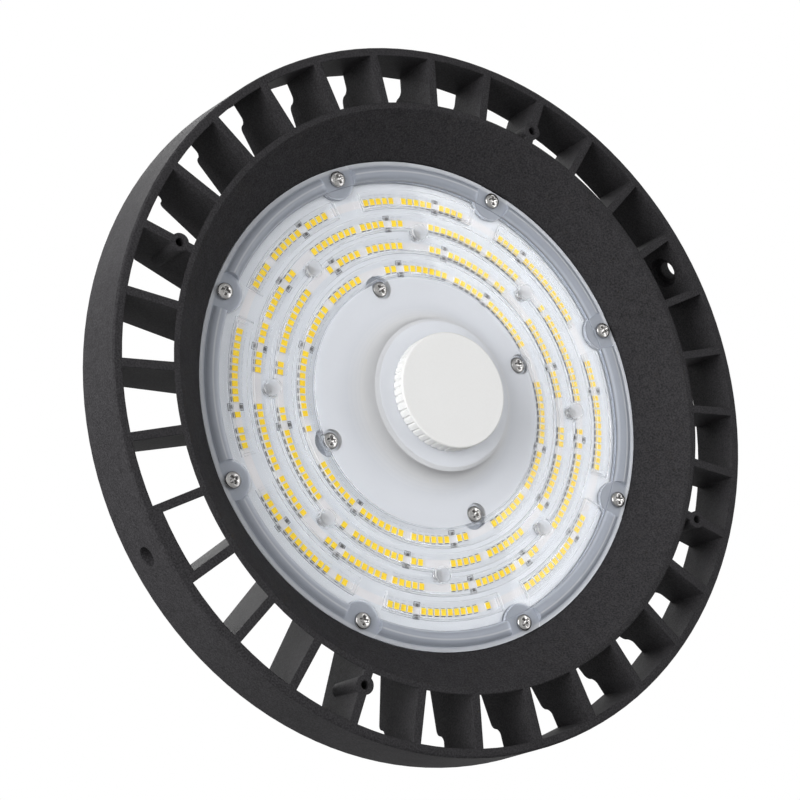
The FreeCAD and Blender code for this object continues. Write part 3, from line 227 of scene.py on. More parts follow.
finishValues = {
    "black_paint": {
        "dark": color(0.017, 0.0165, 0.0175), "light": color(0.06, 0.058, 0.062), "grain": 1250.0,
        "patch": 190.0, "speck": 0.6, "roughness": (0.58, 0.74), "strength": 0.7, "depth": 0.00016,
        "rounding": 0.0009, "specular": 0.04,
        "seat": {"radius": 118.6, "low": 24.6, "high": 28.6, "soft": 0.1, "metal": color(0.42, 0.44, 0.48)}},
    "grey_silicone": {
        "dark": color(0.16, 0.18, 0.22), "light": color(0.26, 0.285, 0.34), "grain": 600.0, "patch": 30.0,
        "speck": 0.2, "roughness": (0.5, 0.7), "strength": 0.2, "depth": 0.00006},
    "white_plastic": {
        "dark": color(0.86, 0.86, 0.85), "light": color(0.9, 0.9, 0.895), "grain": 1500.0, "patch": 25.0,
        "speck": 0.4, "roughness": (0.42, 0.58), "strength": 0.15, "depth": 0.00005, "rounding": 0.0003},
    "black_plastic": {
        "dark": color(0.01, 0.01, 0.011), "light": color(0.024, 0.024, 0.025), "grain": 1500.0, "patch": 40.0,
        "speck": 0.4, "roughness": (0.34, 0.5), "strength": 0.3, "depth": 0.00006, "rounding": 0.0004},
    "steel": {
        "dark": color(0.34, 0.335, 0.33), "light": color(0.66, 0.65, 0.64), "grain": 2200.0, "patch": 220.0,
        "speck": 0.3, "roughness": (0.14, 0.32), "strength": 0.15, "depth": 0.00003, "metallic": 1.0},
    "forged_steel": {
        "dark": color(0.36, 0.37, 0.38), "light": color(0.6, 0.61, 0.62), "grain": 420.0, "patch": 60.0,
        "speck": 0.35, "roughness": (0.3, 0.5), "strength": 0.35, "depth": 0.00012, "metallic": 1.0},
    "brass": {
        "dark": color(0.55, 0.36, 0.1), "light": color(0.8, 0.6, 0.26), "grain": 1800.0, "patch": 150.0,
        "speck": 0.3, "roughness": (0.2, 0.36), "strength": 0.1, "depth": 0.00003, "metallic": 1.0},
    "black_chip": {
        "dark": color(0.02, 0.02, 0.022), "light": color(0.05, 0.05, 0.053), "grain": 2500.0, "patch": 300.0,
        "speck": 0.5, "roughness": (0.35, 0.5), "strength": 0.1, "depth": 0.00002},
    "ferrite": {
        "dark": color(0.02, 0.021, 0.024), "light": color(0.05, 0.052, 0.057), "grain": 1500.0, "patch": 80.0,
        "speck": 0.6, "roughness": (0.5, 0.7), "strength": 0.4, "depth": 0.0001},
    "winding_tape": {
        "dark": color(0.62, 0.42, 0.03), "light": color(0.75, 0.55, 0.07), "grain": 500.0, "patch": 60.0,
        "speck": 0.2, "roughness": (0.22, 0.4), "strength": 0.1, "depth": 0.00005},
    "copper_wire": {
        "dark": color(0.38, 0.12, 0.04), "light": color(0.62, 0.24, 0.09), "grain": 900.0, "patch": 90.0,
        "speck": 0.4, "roughness": (0.25, 0.4), "strength": 0.4, "depth": 0.0002, "metallic": 0.6},
    "bare_aluminium": {
        "dark": color(0.55, 0.55, 0.57), "light": color(0.74, 0.74, 0.76), "grain": 1200.0, "patch": 100.0,
        "speck": 0.3, "roughness": (0.28, 0.42), "strength": 0.15, "depth": 0.00004, "metallic": 1.0},
    "terminal_green": {
        "dark": color(0.02, 0.16, 0.07), "light": color(0.03, 0.23, 0.1), "grain": 1500.0, "patch": 60.0,
        "speck": 0.3, "roughness": (0.35, 0.5), "strength": 0.1, "depth": 0.00004},
    "led_housing": {
        "dark": color(0.84, 0.83, 0.79), "light": color(0.9, 0.89, 0.86), "grain": 2500.0, "patch": 300.0,
        "speck": 0.4, "roughness": (0.3, 0.45), "strength": 0.1, "depth": 0.00002},
    "solder": {
        "dark": color(0.3, 0.3, 0.31), "light": color(0.6, 0.6, 0.61), "grain": 2500.0, "patch": 400.0,
        "speck": 0.4, "roughness": (0.25, 0.45), "strength": 0.3, "depth": 0.00004, "metallic": 1.0},
    # the dark colour of the LED legs and of the tub's ends is painted shade
    "led_leg": {
        "dark": color(0.03, 0.027, 0.024), "light": color(0.09, 0.08, 0.07), "grain": 2500.0, "patch": 400.0,
        "speck": 0.4, "roughness": (0.4, 0.55), "strength": 0.1, "depth": 0.00002},
    "resistor_body": {
        "dark": color(0.07, 0.066, 0.062), "light": color(0.13, 0.125, 0.12), "grain": 2500.0, "patch": 400.0,
        "speck": 0.4, "roughness": (0.4, 0.55), "strength": 0.1, "depth": 0.00002},
    "print_ink": {
        "dark": color(0.035, 0.035, 0.04), "light": color(0.08, 0.08, 0.085), "grain": 2500.0, "patch": 300.0,
        "speck": 0.5, "roughness": (0.5, 0.7), "strength": 0.1, "depth": 0.00001},
}
finishes = {name: coatedMetal(name + "_finish", values) for name, values in finishValues.items()}


# White solder mask, warmer on the bands where the LED rows are printed

rowRadii = (101.0, 89.5, 78.2, 66.7)
boardFinish = {"mask": color(0.68, 0.692, 0.712), "band": color(0.78, 0.725, 0.7), "bandEdge": (2.1, 1.9),
               "bandShare": (0.35, 0.75), "roughness": (0.32, 0.45), "grain": 1600.0, "patch": 60.0,
               "strength": 0.1, "depth": 0.00003}


def nearRows(tree, radius, edge):
    # 0 beyond the edge's first distance from every LED row's radius, 1 within its second one
    away = (addMath(tree, "ABSOLUTE", addMath(tree, "SUBTRACT", radius, row)) for row in rowRadii)
    return largestOf(tree, *[addRange(tree, distance, *edge) for distance in away])


def boardMaterial():
    material, tree, shader = makeMaterial("white_board_finish")
    values = boardFinish
    grain = placeGroup(tree, fineGrain, Scale=values["grain"], Patch_Scale=values["patch"])
    band = nearRows(tree, placeGroup(tree, lampPlace)["Radius"], values["bandEdge"])
    unevenness = addRange(tree, grain["Tone"], *surfaceLevels["gloss"], *values["bandShare"])
    tint = addMix(tree, addMath(tree, "MULTIPLY", band, unevenness), values["mask"], values["band"])
    roughness = addRange(tree, grain["Tone"], *surfaceLevels["tone"], *values["roughness"])
    tree.links.new(tint, shader.inputs["Base Color"])
    tree.links.new(roughness, shader.inputs["Roughness"])
    bumpNormal(tree, shader, grain["Height"], values["strength"], values["depth"])
    return material


# Green driver board with wide traces under the mask

driverBoardFinish = {"gap": color(0.01, 0.1, 0.035), "trace": color(0.02, 0.17, 0.06), "traceScale": 90.0,
                     "traceEdge": (0.06, 0.1), "roughness": (0.22, 0.34), "grain": 1500.0, "patch": 60.0,
                     "strength": 0.3, "depth": 0.00004}


def driverBoardMaterial():
    # the traces are cells, and the gaps are where a point is near the border between two cells
    material, tree, shader = makeMaterial("green_board_finish")
    values = driverBoardFinish
    place = {"Vector": objectPlace(tree), "Scale": values["traceScale"]}
    cells = addNode(tree, "ShaderNodeTexVoronoi", place, feature="DISTANCE_TO_EDGE", distance="EUCLIDEAN")
    trace = addRange(tree, cells.outputs[0], *values["traceEdge"])
    grain = placeGroup(tree, fineGrain, Scale=values["grain"], Patch_Scale=values["patch"])
    roughness = addRange(tree, grain["Tone"], *surfaceLevels["tone"], *values["roughness"])
    tree.links.new(addMix(tree, trace, values["gap"], values["trace"]), shader.inputs["Base Color"])
    tree.links.new(roughness, shader.inputs["Roughness"])
    bumpNormal(tree, shader, trace, values["strength"], values["depth"])
    return material


# Phosphor window of an LED: amber gel in slightly uneven tones

phosphorFinish = {"deep": color(1.0, 0.63, 0.008), "bright": color(1.0, 0.73, 0.02), "grain": 2600.0,
                  "patch": 420.0, "roughness": (0.5, 0.65), "specular": 0.25, "strength": 0.05,
                  "depth": 0.00001}


def phosphorMaterial():
    material, tree, shader = makeMaterial("yellow_phosphor_finish")
    values = phosphorFinish
    grain = placeGroup(tree, fineGrain, Scale=values["grain"], Patch_Scale=values["patch"])
    tone = addRange(tree, grain["Tone"], *surfaceLevels["tone"])
    roughness = addRange(tree, grain["Height"], *surfaceLevels["tone"], *values["roughness"])
    tree.links.new(addMix(tree, tone, values["deep"], values["bright"]), shader.inputs["Base Color"])
    tree.links.new(roughness, shader.inputs["Roughness"])
    shader.inputs["Specular IOR Level"].default_value = values["specular"]
    bumpNormal(tree, shader, grain["Height"], values["strength"], values["depth"])
    return material


# Clear polycarbonate lens, frosted inside the rows; light from the lamps passes to the board

lensFinish = {"tint": color(0.965, 0.975, 0.99), "passing": color(0.945, 0.955, 0.97),
              "indexOfRefraction": 1.055, "clearRoughness": (0.012, 0.024), "frostRoughness": 0.5,
              "grain": 450.0, "patch": 18.0, "gloss": 0.6, "glossRoughness": 0.03, "glossIndex": 1.45,
              "milkRoughness": 0.5, "scatter": 0.94, "beadRadius": 114.4}
# Spots on a circle: its radius in millimetres, and their shift round it in parts of the step between two
lensSpots = {"count": 8.0, "bump": (84.0, 0.0), "post": (114.6, 0.5)}

# Where each mask of the lens is 0 and where it is 1, in millimetres; the slopes have no unit
# crest and foot heights bound the painted highlight and painted shade on the walls' edges; outer and bead
# bound the rim rings kept lighter as a painted highlight
lensEdges = {"frost": (61.8, 60.9), "flange": (109.8, 110.6), "outer": (117.7, 118.5), "bead": (0.52, 0.22),
             "bump": (5.1, 1.7), "post": (10.4, 9.0), "hollow": (3.1, 2.9), "crestHighlight": (21.4, 21.15),
             "footBottom": (22.7, 22.9), "footTop": (23.35, 23.25), "wallSlope": (0.9, 0.6),
             "outwardSlope": (0.4, 0.6)}

# How milky each part of the lens is, from 0 for clear to 1, and the colour of its milkiness; the near-white
# veil on the walls and their top edges is a painted highlight, and the dark grey at the walls' feet is a
# painted shade
lensShares = {"frost": 0.86, "flange": 0.6, "bump": 0.3, "wall": 0.16, "crestHighlight": 0.8, "foot": 0.6,
              "contour": 0.8}
lensVeils = {"plain": color(0.8, 0.825, 0.875), "wall": color(0.93, 0.94, 0.96),
             "flange": color(0.56, 0.6, 0.68), "bump": color(0.6, 0.61, 0.63), "foot": color(0.3, 0.32, 0.37)}


def spotMask(tree, place, name):
    # distance to the nearest spot on a circle: the root of the arc squared plus the step outwards squared
    count = lensSpots["count"]
    circle, shift = lensSpots[name]
    sector = addMath(tree, "FRACT", addMath(tree, "MULTIPLY_ADD", place["Turn"], count, shift))
    arc = addMath(tree, "MULTIPLY", addMath(tree, "SUBTRACT", sector, 0.5), 2 * math.pi * circle / count)
    step = addMath(tree, "SUBTRACT", place["Radius"], circle)
    square = addMath(tree, "MULTIPLY_ADD", arc, arc, addMath(tree, "MULTIPLY", step, step))
    return addRange(tree, addMath(tree, "SQRT", square), *lensEdges[name])


def wallMask(tree, radius, normal):
    # 1 on walls along the lamp's axis, but 0 on the long walls of the channels over the LED rows: these
    # stand near a row, and the product of their normal with the place comes close to the radius
    slope = addMath(tree, "ABSOLUTE", separated(tree, normal)[2])
    product = addNode(tree, "ShaderNodeVectorMath", {0: normal, 1: objectPlace(tree)},
                      operation="DOT_PRODUCT")
    millimetres = addMath(tree, "MULTIPLY", product.outputs["Value"], 1000.0)
    outward = addMath(tree, "ABSOLUTE", addMath(tree, "DIVIDE", millimetres, radius))
    longWall = productOf(tree, nearRows(tree, radius, lensEdges["hollow"]),
                         addRange(tree, outward, *lensEdges["outwardSlope"]))
    return productOf(tree, addRange(tree, slope, *lensEdges["wallSlope"]), restOf(tree, longWall))


def lensMasks(tree, normal):
    # the crest and the foot are the top and bottom edges of the walls, where a painted highlight and a
    # painted shade lie; contour is the walls of the flange;
    # the rings are the flange's outer rim and its bead, kept lighter than the flange as a painted highlight
    place = placeGroup(tree, lampPlace)
    radius, height = place["Radius"], place["Height"]
    post = spotMask(tree, place, "post")
    wall = wallMask(tree, radius, normal)
    flange = largestOf(tree, addRange(tree, radius, *lensEdges["flange"]), post)
    beadDistance = addMath(tree, "ABSOLUTE", addMath(tree, "SUBTRACT", radius, lensFinish["beadRadius"]))
    bead = productOf(tree, addRange(tree, beadDistance, *lensEdges["bead"]), restOf(tree, post))
    foot = productOf(tree, wall, addRange(tree, height, *lensEdges["footBottom"]),
                     addRange(tree, height, *lensEdges["footTop"]))
    return {"frost": addRange(tree, radius, *lensEdges["frost"]), "flange": flange,
            "bump": spotMask(tree, place, "bump"), "wall": wall,
            "crestHighlight": productOf(tree, wall, addRange(tree, height, *lensEdges["crestHighlight"])), "foot": foot,
            "contour": productOf(tree, wall, flange),
            "line": largestOf(tree, addRange(tree, radius, *lensEdges["outer"]), bead)}


def milkyShader(tree, masks, plane):
    # the frosted disc takes its light mostly as a flat face would, so no facet of it shows
    milky = tree.nodes.new("ShaderNodeBsdfPrincipled")
    forward = addNode(tree, "ShaderNodeVectorTransform", {0: (0.0, 0.0, -1.0)}, vector_type="NORMAL",
                      convert_from="OBJECT", convert_to="WORLD").outputs[0]
    softness = addMath(tree, "MULTIPLY", masks["frost"], lensFinish["scatter"])
    soft = addNode(tree, "ShaderNodeVectorMath", {0: mixVector(tree, softness, plane, forward)},
                   operation="NORMALIZE")
    # the flange takes its blue-grey veil except on its outer rim and bead, which stay lighter as a painted
    # highlight
    blue = productOf(tree, masks["flange"], restOf(tree, masks["line"]))
    # the walls take a near-white veil as a painted highlight
    veil = addMix(tree, masks["wall"], lensVeils["plain"], lensVeils["wall"])
    # the feet of the walls take a dark grey veil as a painted shade
    for mask, name in ((blue, "flange"), (masks["bump"], "bump"), (masks["foot"], "foot")):
        veil = addMix(tree, mask, veil, lensVeils[name])
    tree.links.new(soft.outputs[0], milky.inputs["Normal"])
    tree.links.new(veil, milky.inputs["Base Color"])
    milky.inputs["Roughness"].default_value = lensFinish["milkRoughness"]
    return milky


def lensMaterial():
    # clear shader mixed with the milky one by the largest of the masks times their shares
    material, tree, shader = makeMaterial("clear_lens_finish")
    geometry = addNode(tree, "ShaderNodeNewGeometry").outputs
    masks = lensMasks(tree, geometry["True Normal"])
    grain = placeGroup(tree, fineGrain, Scale=lensFinish["grain"], Patch_Scale=lensFinish["patch"])
    clearRoughness = addRange(tree, grain["Tone"], *surfaceLevels["tone"], *lensFinish["clearRoughness"])
    dull = largestOf(tree, masks["frost"], masks["bump"])
    roughness = addMath(tree, "MULTIPLY_ADD", dull, lensFinish["frostRoughness"], clearRoughness)
    plane = mixVector(tree, masks["frost"], geometry["True Normal"], geometry["Normal"])
    for socketName, socket in (("Roughness", roughness), ("Normal", plane), ("Coat Normal", plane)):
        tree.links.new(socket, shader.inputs[socketName])
    for socketName, value in (("Base Color", lensFinish["tint"]), ("IOR", lensFinish["indexOfRefraction"]),
                              ("Transmission Weight", 1.0), ("Coat Weight", lensFinish["gloss"]),
                              ("Coat Roughness", lensFinish["glossRoughness"]),
                              ("Coat IOR", lensFinish["glossIndex"])):
        shader.inputs[socketName].default_value = value
    parts = [addMath(tree, "MULTIPLY", masks[name], share) for name, share in lensShares.items()]
    milky = milkyShader(tree, masks, plane)
    veiled = addNode(tree, "ShaderNodeMixShader",
                     {0: largestOf(tree, *parts), 1: shader.outputs[0], 2: milky.outputs[0]})
    passing = addNode(tree, "ShaderNodeBsdfTransparent", {"Color": lensFinish["passing"]})
    shadowRay = addNode(tree, "ShaderNodeLightPath").outputs["Is Shadow Ray"]
    mix = addNode(tree, "ShaderNodeMixShader", {0: shadowRay, 1: veiled.outputs[0], 2: passing.outputs[0]})
    tree.links.new(mix.outputs[0], tree.nodes["Material Output"].inputs[0])
    return material


finishes["white_board"] = boardMaterial()
finishes["green_board"] = driverBoardMaterial()
finishes["clear_lens"] = lensMaterial()
finishes["yellow_phosphor"] = phosphorMaterial()

for node in cadNodes.values():
    for materialSlot in node.material_slots:
        materialSlot.material = finishes[materialSlot.material.name.split(".")[0]]
print("materials on every CAD node")


# Mesh helpers

def showObject(name, data):
    shown = bpy.data.objects.new(name, data)
    bpy.context.scene.collection.objects.link(shown)
    return shown


def makePiece(name, vertices, faces, finishNames, faceFinish=None, smooth=False):
    # a mesh object at the origin, its finishes given by name and chosen for each face by number
    mesh = bpy.data.meshes.new(name)
    mesh.from_pydata(vertices.tolist(), [], faces.tolist())
    for finishName in finishNames:
        mesh.materials.append(finishes[finishName])
    if faceFinish is not None:
        mesh.polygons.foreach_set("material_index", faceFinish.astype(np.int32))
    mesh.polygons.foreach_set("use_smooth", np.full(len(faces), smooth))
    mesh.update()
    return showObject(name, mesh)


def solidCentres(nodeName, count):
    # middle of the box round each of a node's equal solids
    mesh = cadNodes[nodeName].data
    places = np.zeros(len(mesh.vertices) * 3, np.float32)
    mesh.vertices.foreach_get("co", places)
    places = places.reshape(count, -1, 3)
    return (places.min(1) + places.max(1)) / 2


def copiesRound(shape, faces, centres, turns):
    # each copy's point is the centre plus the shape turned about Z by its angle
    cosine, sine = np.cos(turns)[:, None], np.sin(turns)[:, None]
    x = centres[:, :1] + shape[None, :, 0] * cosine - shape[None, :, 1] * sine
    y = centres[:, 1:2] + shape[None, :, 0] * sine + shape[None, :, 1] * cosine
    z = centres[:, 2:3] + np.zeros_like(x) + shape[None, :, 2]
    points = np.stack([x, y, z], -1).reshape(-1, 3)
    starts = np.arange(len(centres)) * len(shape)
    return points, (faces[None] + starts[:, None, None]).reshape(-1, faces.shape[1])


def ringFaces(rings, corners):
    # quads between neighbouring closed rings, each ring's corners in turn
    ring, corner = np.meshgrid(np.arange(rings - 1), np.arange(corners), indexing="ij")
    following = (corner + 1) % corners
    quads = np.stack([ring * corners + corner, (ring + 1) * corners + corner,
                      (ring + 1) * corners + following, ring * corners + following], -1)
    return quads.reshape(-1, 4)


def finishPiece(piece, slotName, *replaced):
    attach(piece, "root")
    if replaced:
        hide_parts(*replaced)


# LED packages: a white tub with a sunken phosphor window and a leg at each radial end; the legs and the tub's
# ends are coloured dark as painted shade

ledPackage = {"halfLength": 0.00175, "halfWidth": 0.0014, "height": 0.0007, "tubTaper": 0.00003,
              "windowHalfLength": 0.00158, "windowHalfWidth": 0.00134, "windowTaper": 0.00005,
              "windowDepth": 0.00007, "legReach": 0.0003, "legHalfWidth": 0.00105, "legHeight": 0.00038,
              "legOverlap": 0.00002, "legTipShare": 0.25}
ledRows = {"outer_row_chips": ("outerRowLeds", 114), "second_row_chips": ("secondRowLeds", 112),
           "third_row_chips": ("thirdRowLeds", 91), "inner_row_chips": ("innerRowLeds", 88)}
ledFinishes = ("led_housing", "yellow_phosphor", "led_leg")


def rectangle(halfLength, halfWidth, height):
    return [(halfLength, halfWidth, height), (halfLength, -halfWidth, height),
            (-halfLength, -halfWidth, height), (-halfLength, halfWidth, height)]


def ledShape():
    # four stacked rectangles, out to in, facing -Z, then two wedges for the legs
    size = ledPackage
    front = -size["height"]
    length, width, taper = size["halfLength"], size["halfWidth"], size["tubTaper"]
    openLength, openWidth, openTaper = size["windowHalfLength"], size["windowHalfWidth"], size["windowTaper"]
    points = (rectangle(length, width, 0.0) + rectangle(length - taper, width - taper, front)
              + rectangle(openLength, openWidth, front)
              + rectangle(openLength - openTaper, openWidth - openTaper, front + size["windowDepth"]))
    faces = ringFaces(4, 4).tolist() + [[12, 13, 14, 15]]
    # finishes by number: 0 the tub, 1 the window, 2 the legs and the tub's ends behind them, dark as painted
    # shade
    kinds = [2, 0, 2] + [0] * 9 + [1]
    half, high, tip = size["legHalfWidth"], -size["legHeight"], -size["legHeight"] * size["legTipShare"]
    for side in (1, -1):
        start = len(points)
        inner, outer = side * (length - size["legOverlap"]), side * (length + size["legReach"])
        points += [(along, across, height) for across in (half, -half)
                   for along, height in ((inner, 0.0), (inner, high), (outer, 0.0), (outer, tip))]
        wedge = [[1, 5, 7, 3], [3, 7, 6, 2], [0, 1, 3, 2], [4, 6, 7, 5]]
        faces += [[start + corner for corner in face[::side]] for face in wedge]
        kinds += [2] * len(wedge)
    return np.array(points), np.array(faces), np.array(kinds)


ledPoints, ledFaces, ledKinds = ledShape()
for nodeName, (pieceName, count) in ledRows.items():
    centres = solidCentres(nodeName, count)
    turns = np.arctan2(centres[:, 1], centres[:, 0])
    centres[:, 2] += ledPackage["height"] / 2
    points, faces = copiesRound(ledPoints, ledFaces, centres, turns)
    leds = makePiece(pieceName, points, faces, ledFinishes, np.tile(ledKinds, count))
    finishPiece(leds, "yellow_phosphor", nodeName)
print("LED packages placed")


# Chip resistors in pairs between the LEDs, with metal ends and a printed bracket round each

resistorParts = {"count": 54, "halfLength": 0.00075, "halfWidth": 0.0012, "height": 0.00058,
                 "endWidth": 0.00042, "endProud": 0.00002, "bracketHalfWidth": 0.00175,
                 "bracketReach": 0.00155, "lineWidth": 0.00028, "printHeight": 0.00003, "armShare": 0.35}


def boxBetween(low, high, kind):
    # the corners and the five shown faces of a box, open towards +Z, and each face's finish by number
    sides = list(zip(low, high))
    corners = np.array([(x, y, z) for z in sides[2] for y in sides[1] for x in sides[0]])
    faces = np.array([[0, 2, 3, 1], [0, 1, 5, 4], [1, 3, 7, 5], [3, 2, 6, 7], [2, 0, 4, 6]])
    return corners, faces, np.full(len(faces), kind)


def joined(blocks):
    # the blocks as one mesh, each block's faces counted on from the corners before it
    points, faces, kinds = zip(*blocks)
    starts = np.cumsum([0] + [len(corners) for corners in points[:-1]])
    allFaces = [blockFaces + start for blockFaces, start in zip(faces, starts)]
    return np.concatenate(points), np.concatenate(allFaces), np.concatenate(kinds)


def resistorShape():
    size = resistorParts
    length, width, front = size["halfLength"], size["halfWidth"], -size["height"]
    metalLength, metalFront = length + size["endProud"], front - size["endProud"]
    inner = width - size["endWidth"]
    blocks = [boxBetween((-length, -inner, front), (length, inner, 0.0), 0)]
    for low, high in ((-width, -inner), (inner, width)):
        blocks.append(boxBetween((-metalLength, low, metalFront), (metalLength, high, 0.0), 1))
    return joined(blocks)


def bracketShape():
    # three thin printed lines, open on the side towards the pair's middle
    size = resistorParts
    reach, half, front = size["bracketReach"], size["bracketHalfWidth"], -size["printHeight"]
    innerReach, innerHalf = reach - size["lineWidth"], half - size["lineWidth"]
    blocks = [boxBetween((innerReach, -half, front), (reach, half, 0.0), 0)]
    for low, high in ((-half, -innerHalf), (innerHalf, half)):
        blocks.append(boxBetween((-reach * size["armShare"], low, front), (innerReach, high, 0.0), 0))
    return joined(blocks)


centres = solidCentres("row_resistors", resistorParts["count"])
centres[:, 2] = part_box("row_resistors")[1][2]
turns = np.arctan2(centres[:, 1], centres[:, 0])
points, faces, kinds = resistorShape()
allPoints, allFaces = copiesRound(points, faces, centres, turns)
allKinds = np.tile(kinds, len(centres))
resistors = makePiece("rowResistorParts", allPoints, allFaces, ("resistor_body", "solder"), allKinds)
finishPiece(resistors, "black_chip", "row_resistors")
distance = np.hypot(centres[:, 0], centres[:, 1])
middles = np.array(rowRadii) / 1000
nearest = middles[np.abs(distance[:, None] - middles[None]).argmin(1)]
points, faces, kinds = bracketShape()
allPoints, allFaces = copiesRound(points, faces, centres, turns + np.where(distance < nearest, math.pi, 0.0))
brackets = makePiece("printedBrackets", allPoints, allFaces, ("print_ink",))
finishPiece(brackets, "black_chip")
print("resistors placed")


# Pan-head screws: a revolved head and shank, with a cross recess pressed into the dome

screwSets = {
    "lens_screws": {"piece": "lensScrewHeads", "count": 8, "head": 0.004, "tall": 0.0024, "shank": 0.002,
                    "long": 0.014, "faces": -1},
    "hub_screws": {"piece": "hubScrewHeads", "count": 4, "head": 0.004, "tall": 0.0024, "shank": 0.002,
                   "long": 0.014, "faces": -1},
    "board_screws": {"piece": "boardScrewHeads", "count": 8, "head": 0.0028, "tall": 0.0018, "shank": 0.0015,
                     "long": 0.007, "faces": -1},
    "cover_screws": {"piece": "coverScrewHeads", "count": 6, "head": 0.004, "tall": 0.0024, "shank": 0.002,
                     "long": 0.012, "faces": 1},
}
# Shares of the head's radius and height; the rim has (radius, height) from the dome to the underside
screwForm = {"domeRings": 13, "domeReach": 0.93, "domeSpread": 0.85, "domeCurve": 0.98, "domeShare": 0.5,
             "rim": ((0.985, 0.56), (1.0, 0.44), (1.0, 0.06), (0.97, 0.0)), "tipShare": 0.6,
             "tipLength": 0.0008, "corners": 40, "firstTurn": 0.4, "turnStep": 0.83, "sharpAngle": 40}
crossRecess = {"halfLength": 0.62, "halfWidth": 0.18, "depth": 0.6, "endSlope": 0.22, "sideSlope": 0.05}


def crossDepth(x, y):
    # full depth where a point lies in either bar of the cross, none past the slopes of both bars
    def bar(along, across):
        length = np.clip((crossRecess["halfLength"] - np.abs(along)) / crossRecess["endSlope"], 0, 1)
        return length * np.clip((crossRecess["halfWidth"] - np.abs(across)) / crossRecess["sideSlope"], 0, 1)

    return np.maximum(bar(x, y), bar(y, x)) * crossRecess["depth"]


def screwShape(size):
    # radius and height of each ring: a dome down to the rim, the flat under the head, then the shank;
    # the dome's height is the root of 1 minus its radius squared, and the recess lowers it
    form = screwForm
    head, tall, shank, long = size["head"], size["tall"], size["shank"], size["long"]
    domeRadius = np.linspace(0.0, form["domeReach"], form["domeRings"]) ** form["domeSpread"]
    roundness = np.sqrt(1 - (domeRadius * form["domeCurve"]) ** 2)
    domeHeight = 1 - form["domeShare"] + form["domeShare"] * roundness
    rimRadius, rimHeight = np.array(form["rim"]).T
    shankRadius = [shank, shank, shank * form["tipShare"], 0.0]
    shankHeight = [0.0, form["tipLength"] - long, -long, -long]
    radii = np.concatenate([domeRadius * head, rimRadius * head, shankRadius])
    heights = np.concatenate([domeHeight * tall, rimHeight * tall, shankHeight])
    turn = np.linspace(0.0, 2 * math.pi, form["corners"], endpoint=False)
    x = radii[:, None] * np.cos(turn)
    y = radii[:, None] * np.sin(turn)
    z = np.repeat(heights[:, None], len(turn), 1)
    dome = slice(form["domeRings"])
    z[dome] -= crossDepth(x[dome] / head, y[dome] / head) * tall
    points = np.stack([x, y, z * size["faces"]], -1).reshape(-1, 3)
    faces = ringFaces(len(radii), len(turn))
    return points, faces[:, ::size["faces"]]


def mergedSmooth(piece, angle):
    # poles and seams closed, smooth shading with edges sharper than the angle kept
    work = bmesh.new()
    work.from_mesh(piece.data)
    bmesh.ops.remove_doubles(work, verts=work.verts, dist=1e-7)
    bmesh.ops.recalc_face_normals(work, faces=work.faces)
    work.to_mesh(piece.data)
    work.free()
    piece.data.polygons.foreach_set("use_smooth", np.full(len(piece.data.polygons), True))
    piece.data.set_sharp_from_angle(angle=math.radians(angle))


for nodeName, size in screwSets.items():
    centres = solidCentres(nodeName, size["count"])
    low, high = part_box(nodeName)
    centres[:, 2] = low[2] + size["tall"] if size["faces"] < 0 else high[2] - size["tall"]
    points, faces = screwShape(size)
    turns = np.arange(size["count"]) * screwForm["turnStep"] + screwForm["firstTurn"]
    allPoints, allFaces = copiesRound(points, faces, centres, turns)
    screws = makePiece(size["piece"], allPoints, allFaces, ("steel",), smooth=True)
    mergedSmooth(screws, screwForm["sharpAngle"])
    finishPiece(screws, "steel", nodeName)
print("screws placed")


# Floor, light and camera; the camera's place and turn are the photo's

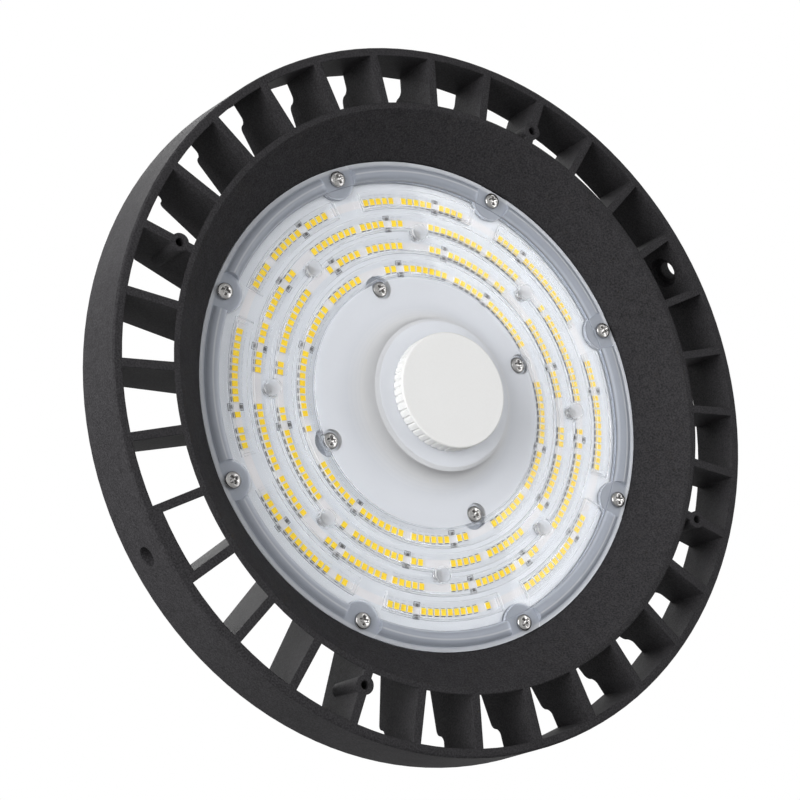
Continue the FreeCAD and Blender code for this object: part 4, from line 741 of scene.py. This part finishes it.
studio = {"floorHeight": -1.3, "floorHalfSize": 30.0, "floor": color(0.86, 0.86, 0.86), "floorRoughness": 0.8,
          "skyLight": 0.24, "camera": (-0.019305, -0.516489, -0.733926),
          "turn": (0.148608, 0.533078, 0.795328, -0.247378), "lens": 86.4385, "sensorWidth": 36.0,
          "clipStart": 0.01, "target": (0.0, 0.0, 0.03)}
lampSettings = {
    "keyLight": {"from": (-0.62, 0.2, 0.65), "distance": 1.5, "size": 1.3, "power": 26.5},
    "fillLight": {"from": (0.9, 0.3, 0.6), "distance": 1.6, "size": 1.6, "power": 21.5},
    "topLight": {"from": (-0.5, 0.35, -0.9), "distance": 1.6, "size": 1.2, "power": 14.0},
}


def floorMaterial():
    material, tree, shader = makeMaterial("floor_finish")
    shader.inputs["Base Color"].default_value = studio["floor"]
    shader.inputs["Roughness"].default_value = studio["floorRoughness"]
    return material


finishes["floor"] = floorMaterial()
floorPoints = np.array(rectangle(studio["floorHalfSize"], studio["floorHalfSize"], studio["floorHeight"]))
floor = makePiece("studioFloor", floorPoints, np.array([[3, 2, 1, 0]]), ("floor",))

# The sky is full white where it is seen or mirrored and dimmer as a light
world = bpy.data.worlds.new("studioWorld")
bpy.context.scene.world = world
world.use_nodes = True
worldTree = world.node_tree
worldTree.nodes.clear()
path = addNode(worldTree, "ShaderNodeLightPath").outputs
seen = largestOf(worldTree, path["Is Camera Ray"], path["Is Glossy Ray"], path["Is Transmission Ray"])
strength = addRange(worldTree, seen, 0.0, 1.0, studio["skyLight"], 1.0)
sky = addNode(worldTree, "ShaderNodeBackground", {"Color": color(1.0, 1.0, 1.0), "Strength": strength})
addNode(worldTree, "ShaderNodeOutputWorld", {"Surface": sky.outputs[0]})

cameraTurn = Quaternion(studio["turn"])
for lampName, values in lampSettings.items():
    lampData = bpy.data.lights.new(lampName, "AREA")
    lampData.size = values["size"]
    lampData.energy = values["power"]
    lamp = showObject(lampName, lampData)
    away = (cameraTurn @ Vector(values["from"])).normalized()
    lamp.location = Vector(studio["target"]) + away * values["distance"]
    lamp.rotation_mode = "QUATERNION"
    lamp.rotation_quaternion = away.to_track_quat("Z", "Y")

cameraData = bpy.data.cameras.new("photoCamera")
cameraData.lens = studio["lens"]
cameraData.sensor_width = studio["sensorWidth"]
cameraData.clip_start = studio["clipStart"]
camera = showObject("photoCamera", cameraData)
camera.location = studio["camera"]
camera.rotation_mode = "QUATERNION"
camera.rotation_quaternion = cameraTurn
bpy.context.scene.camera = camera
bpy.context.scene.view_settings.view_transform = "Standard"
print("studio ready")
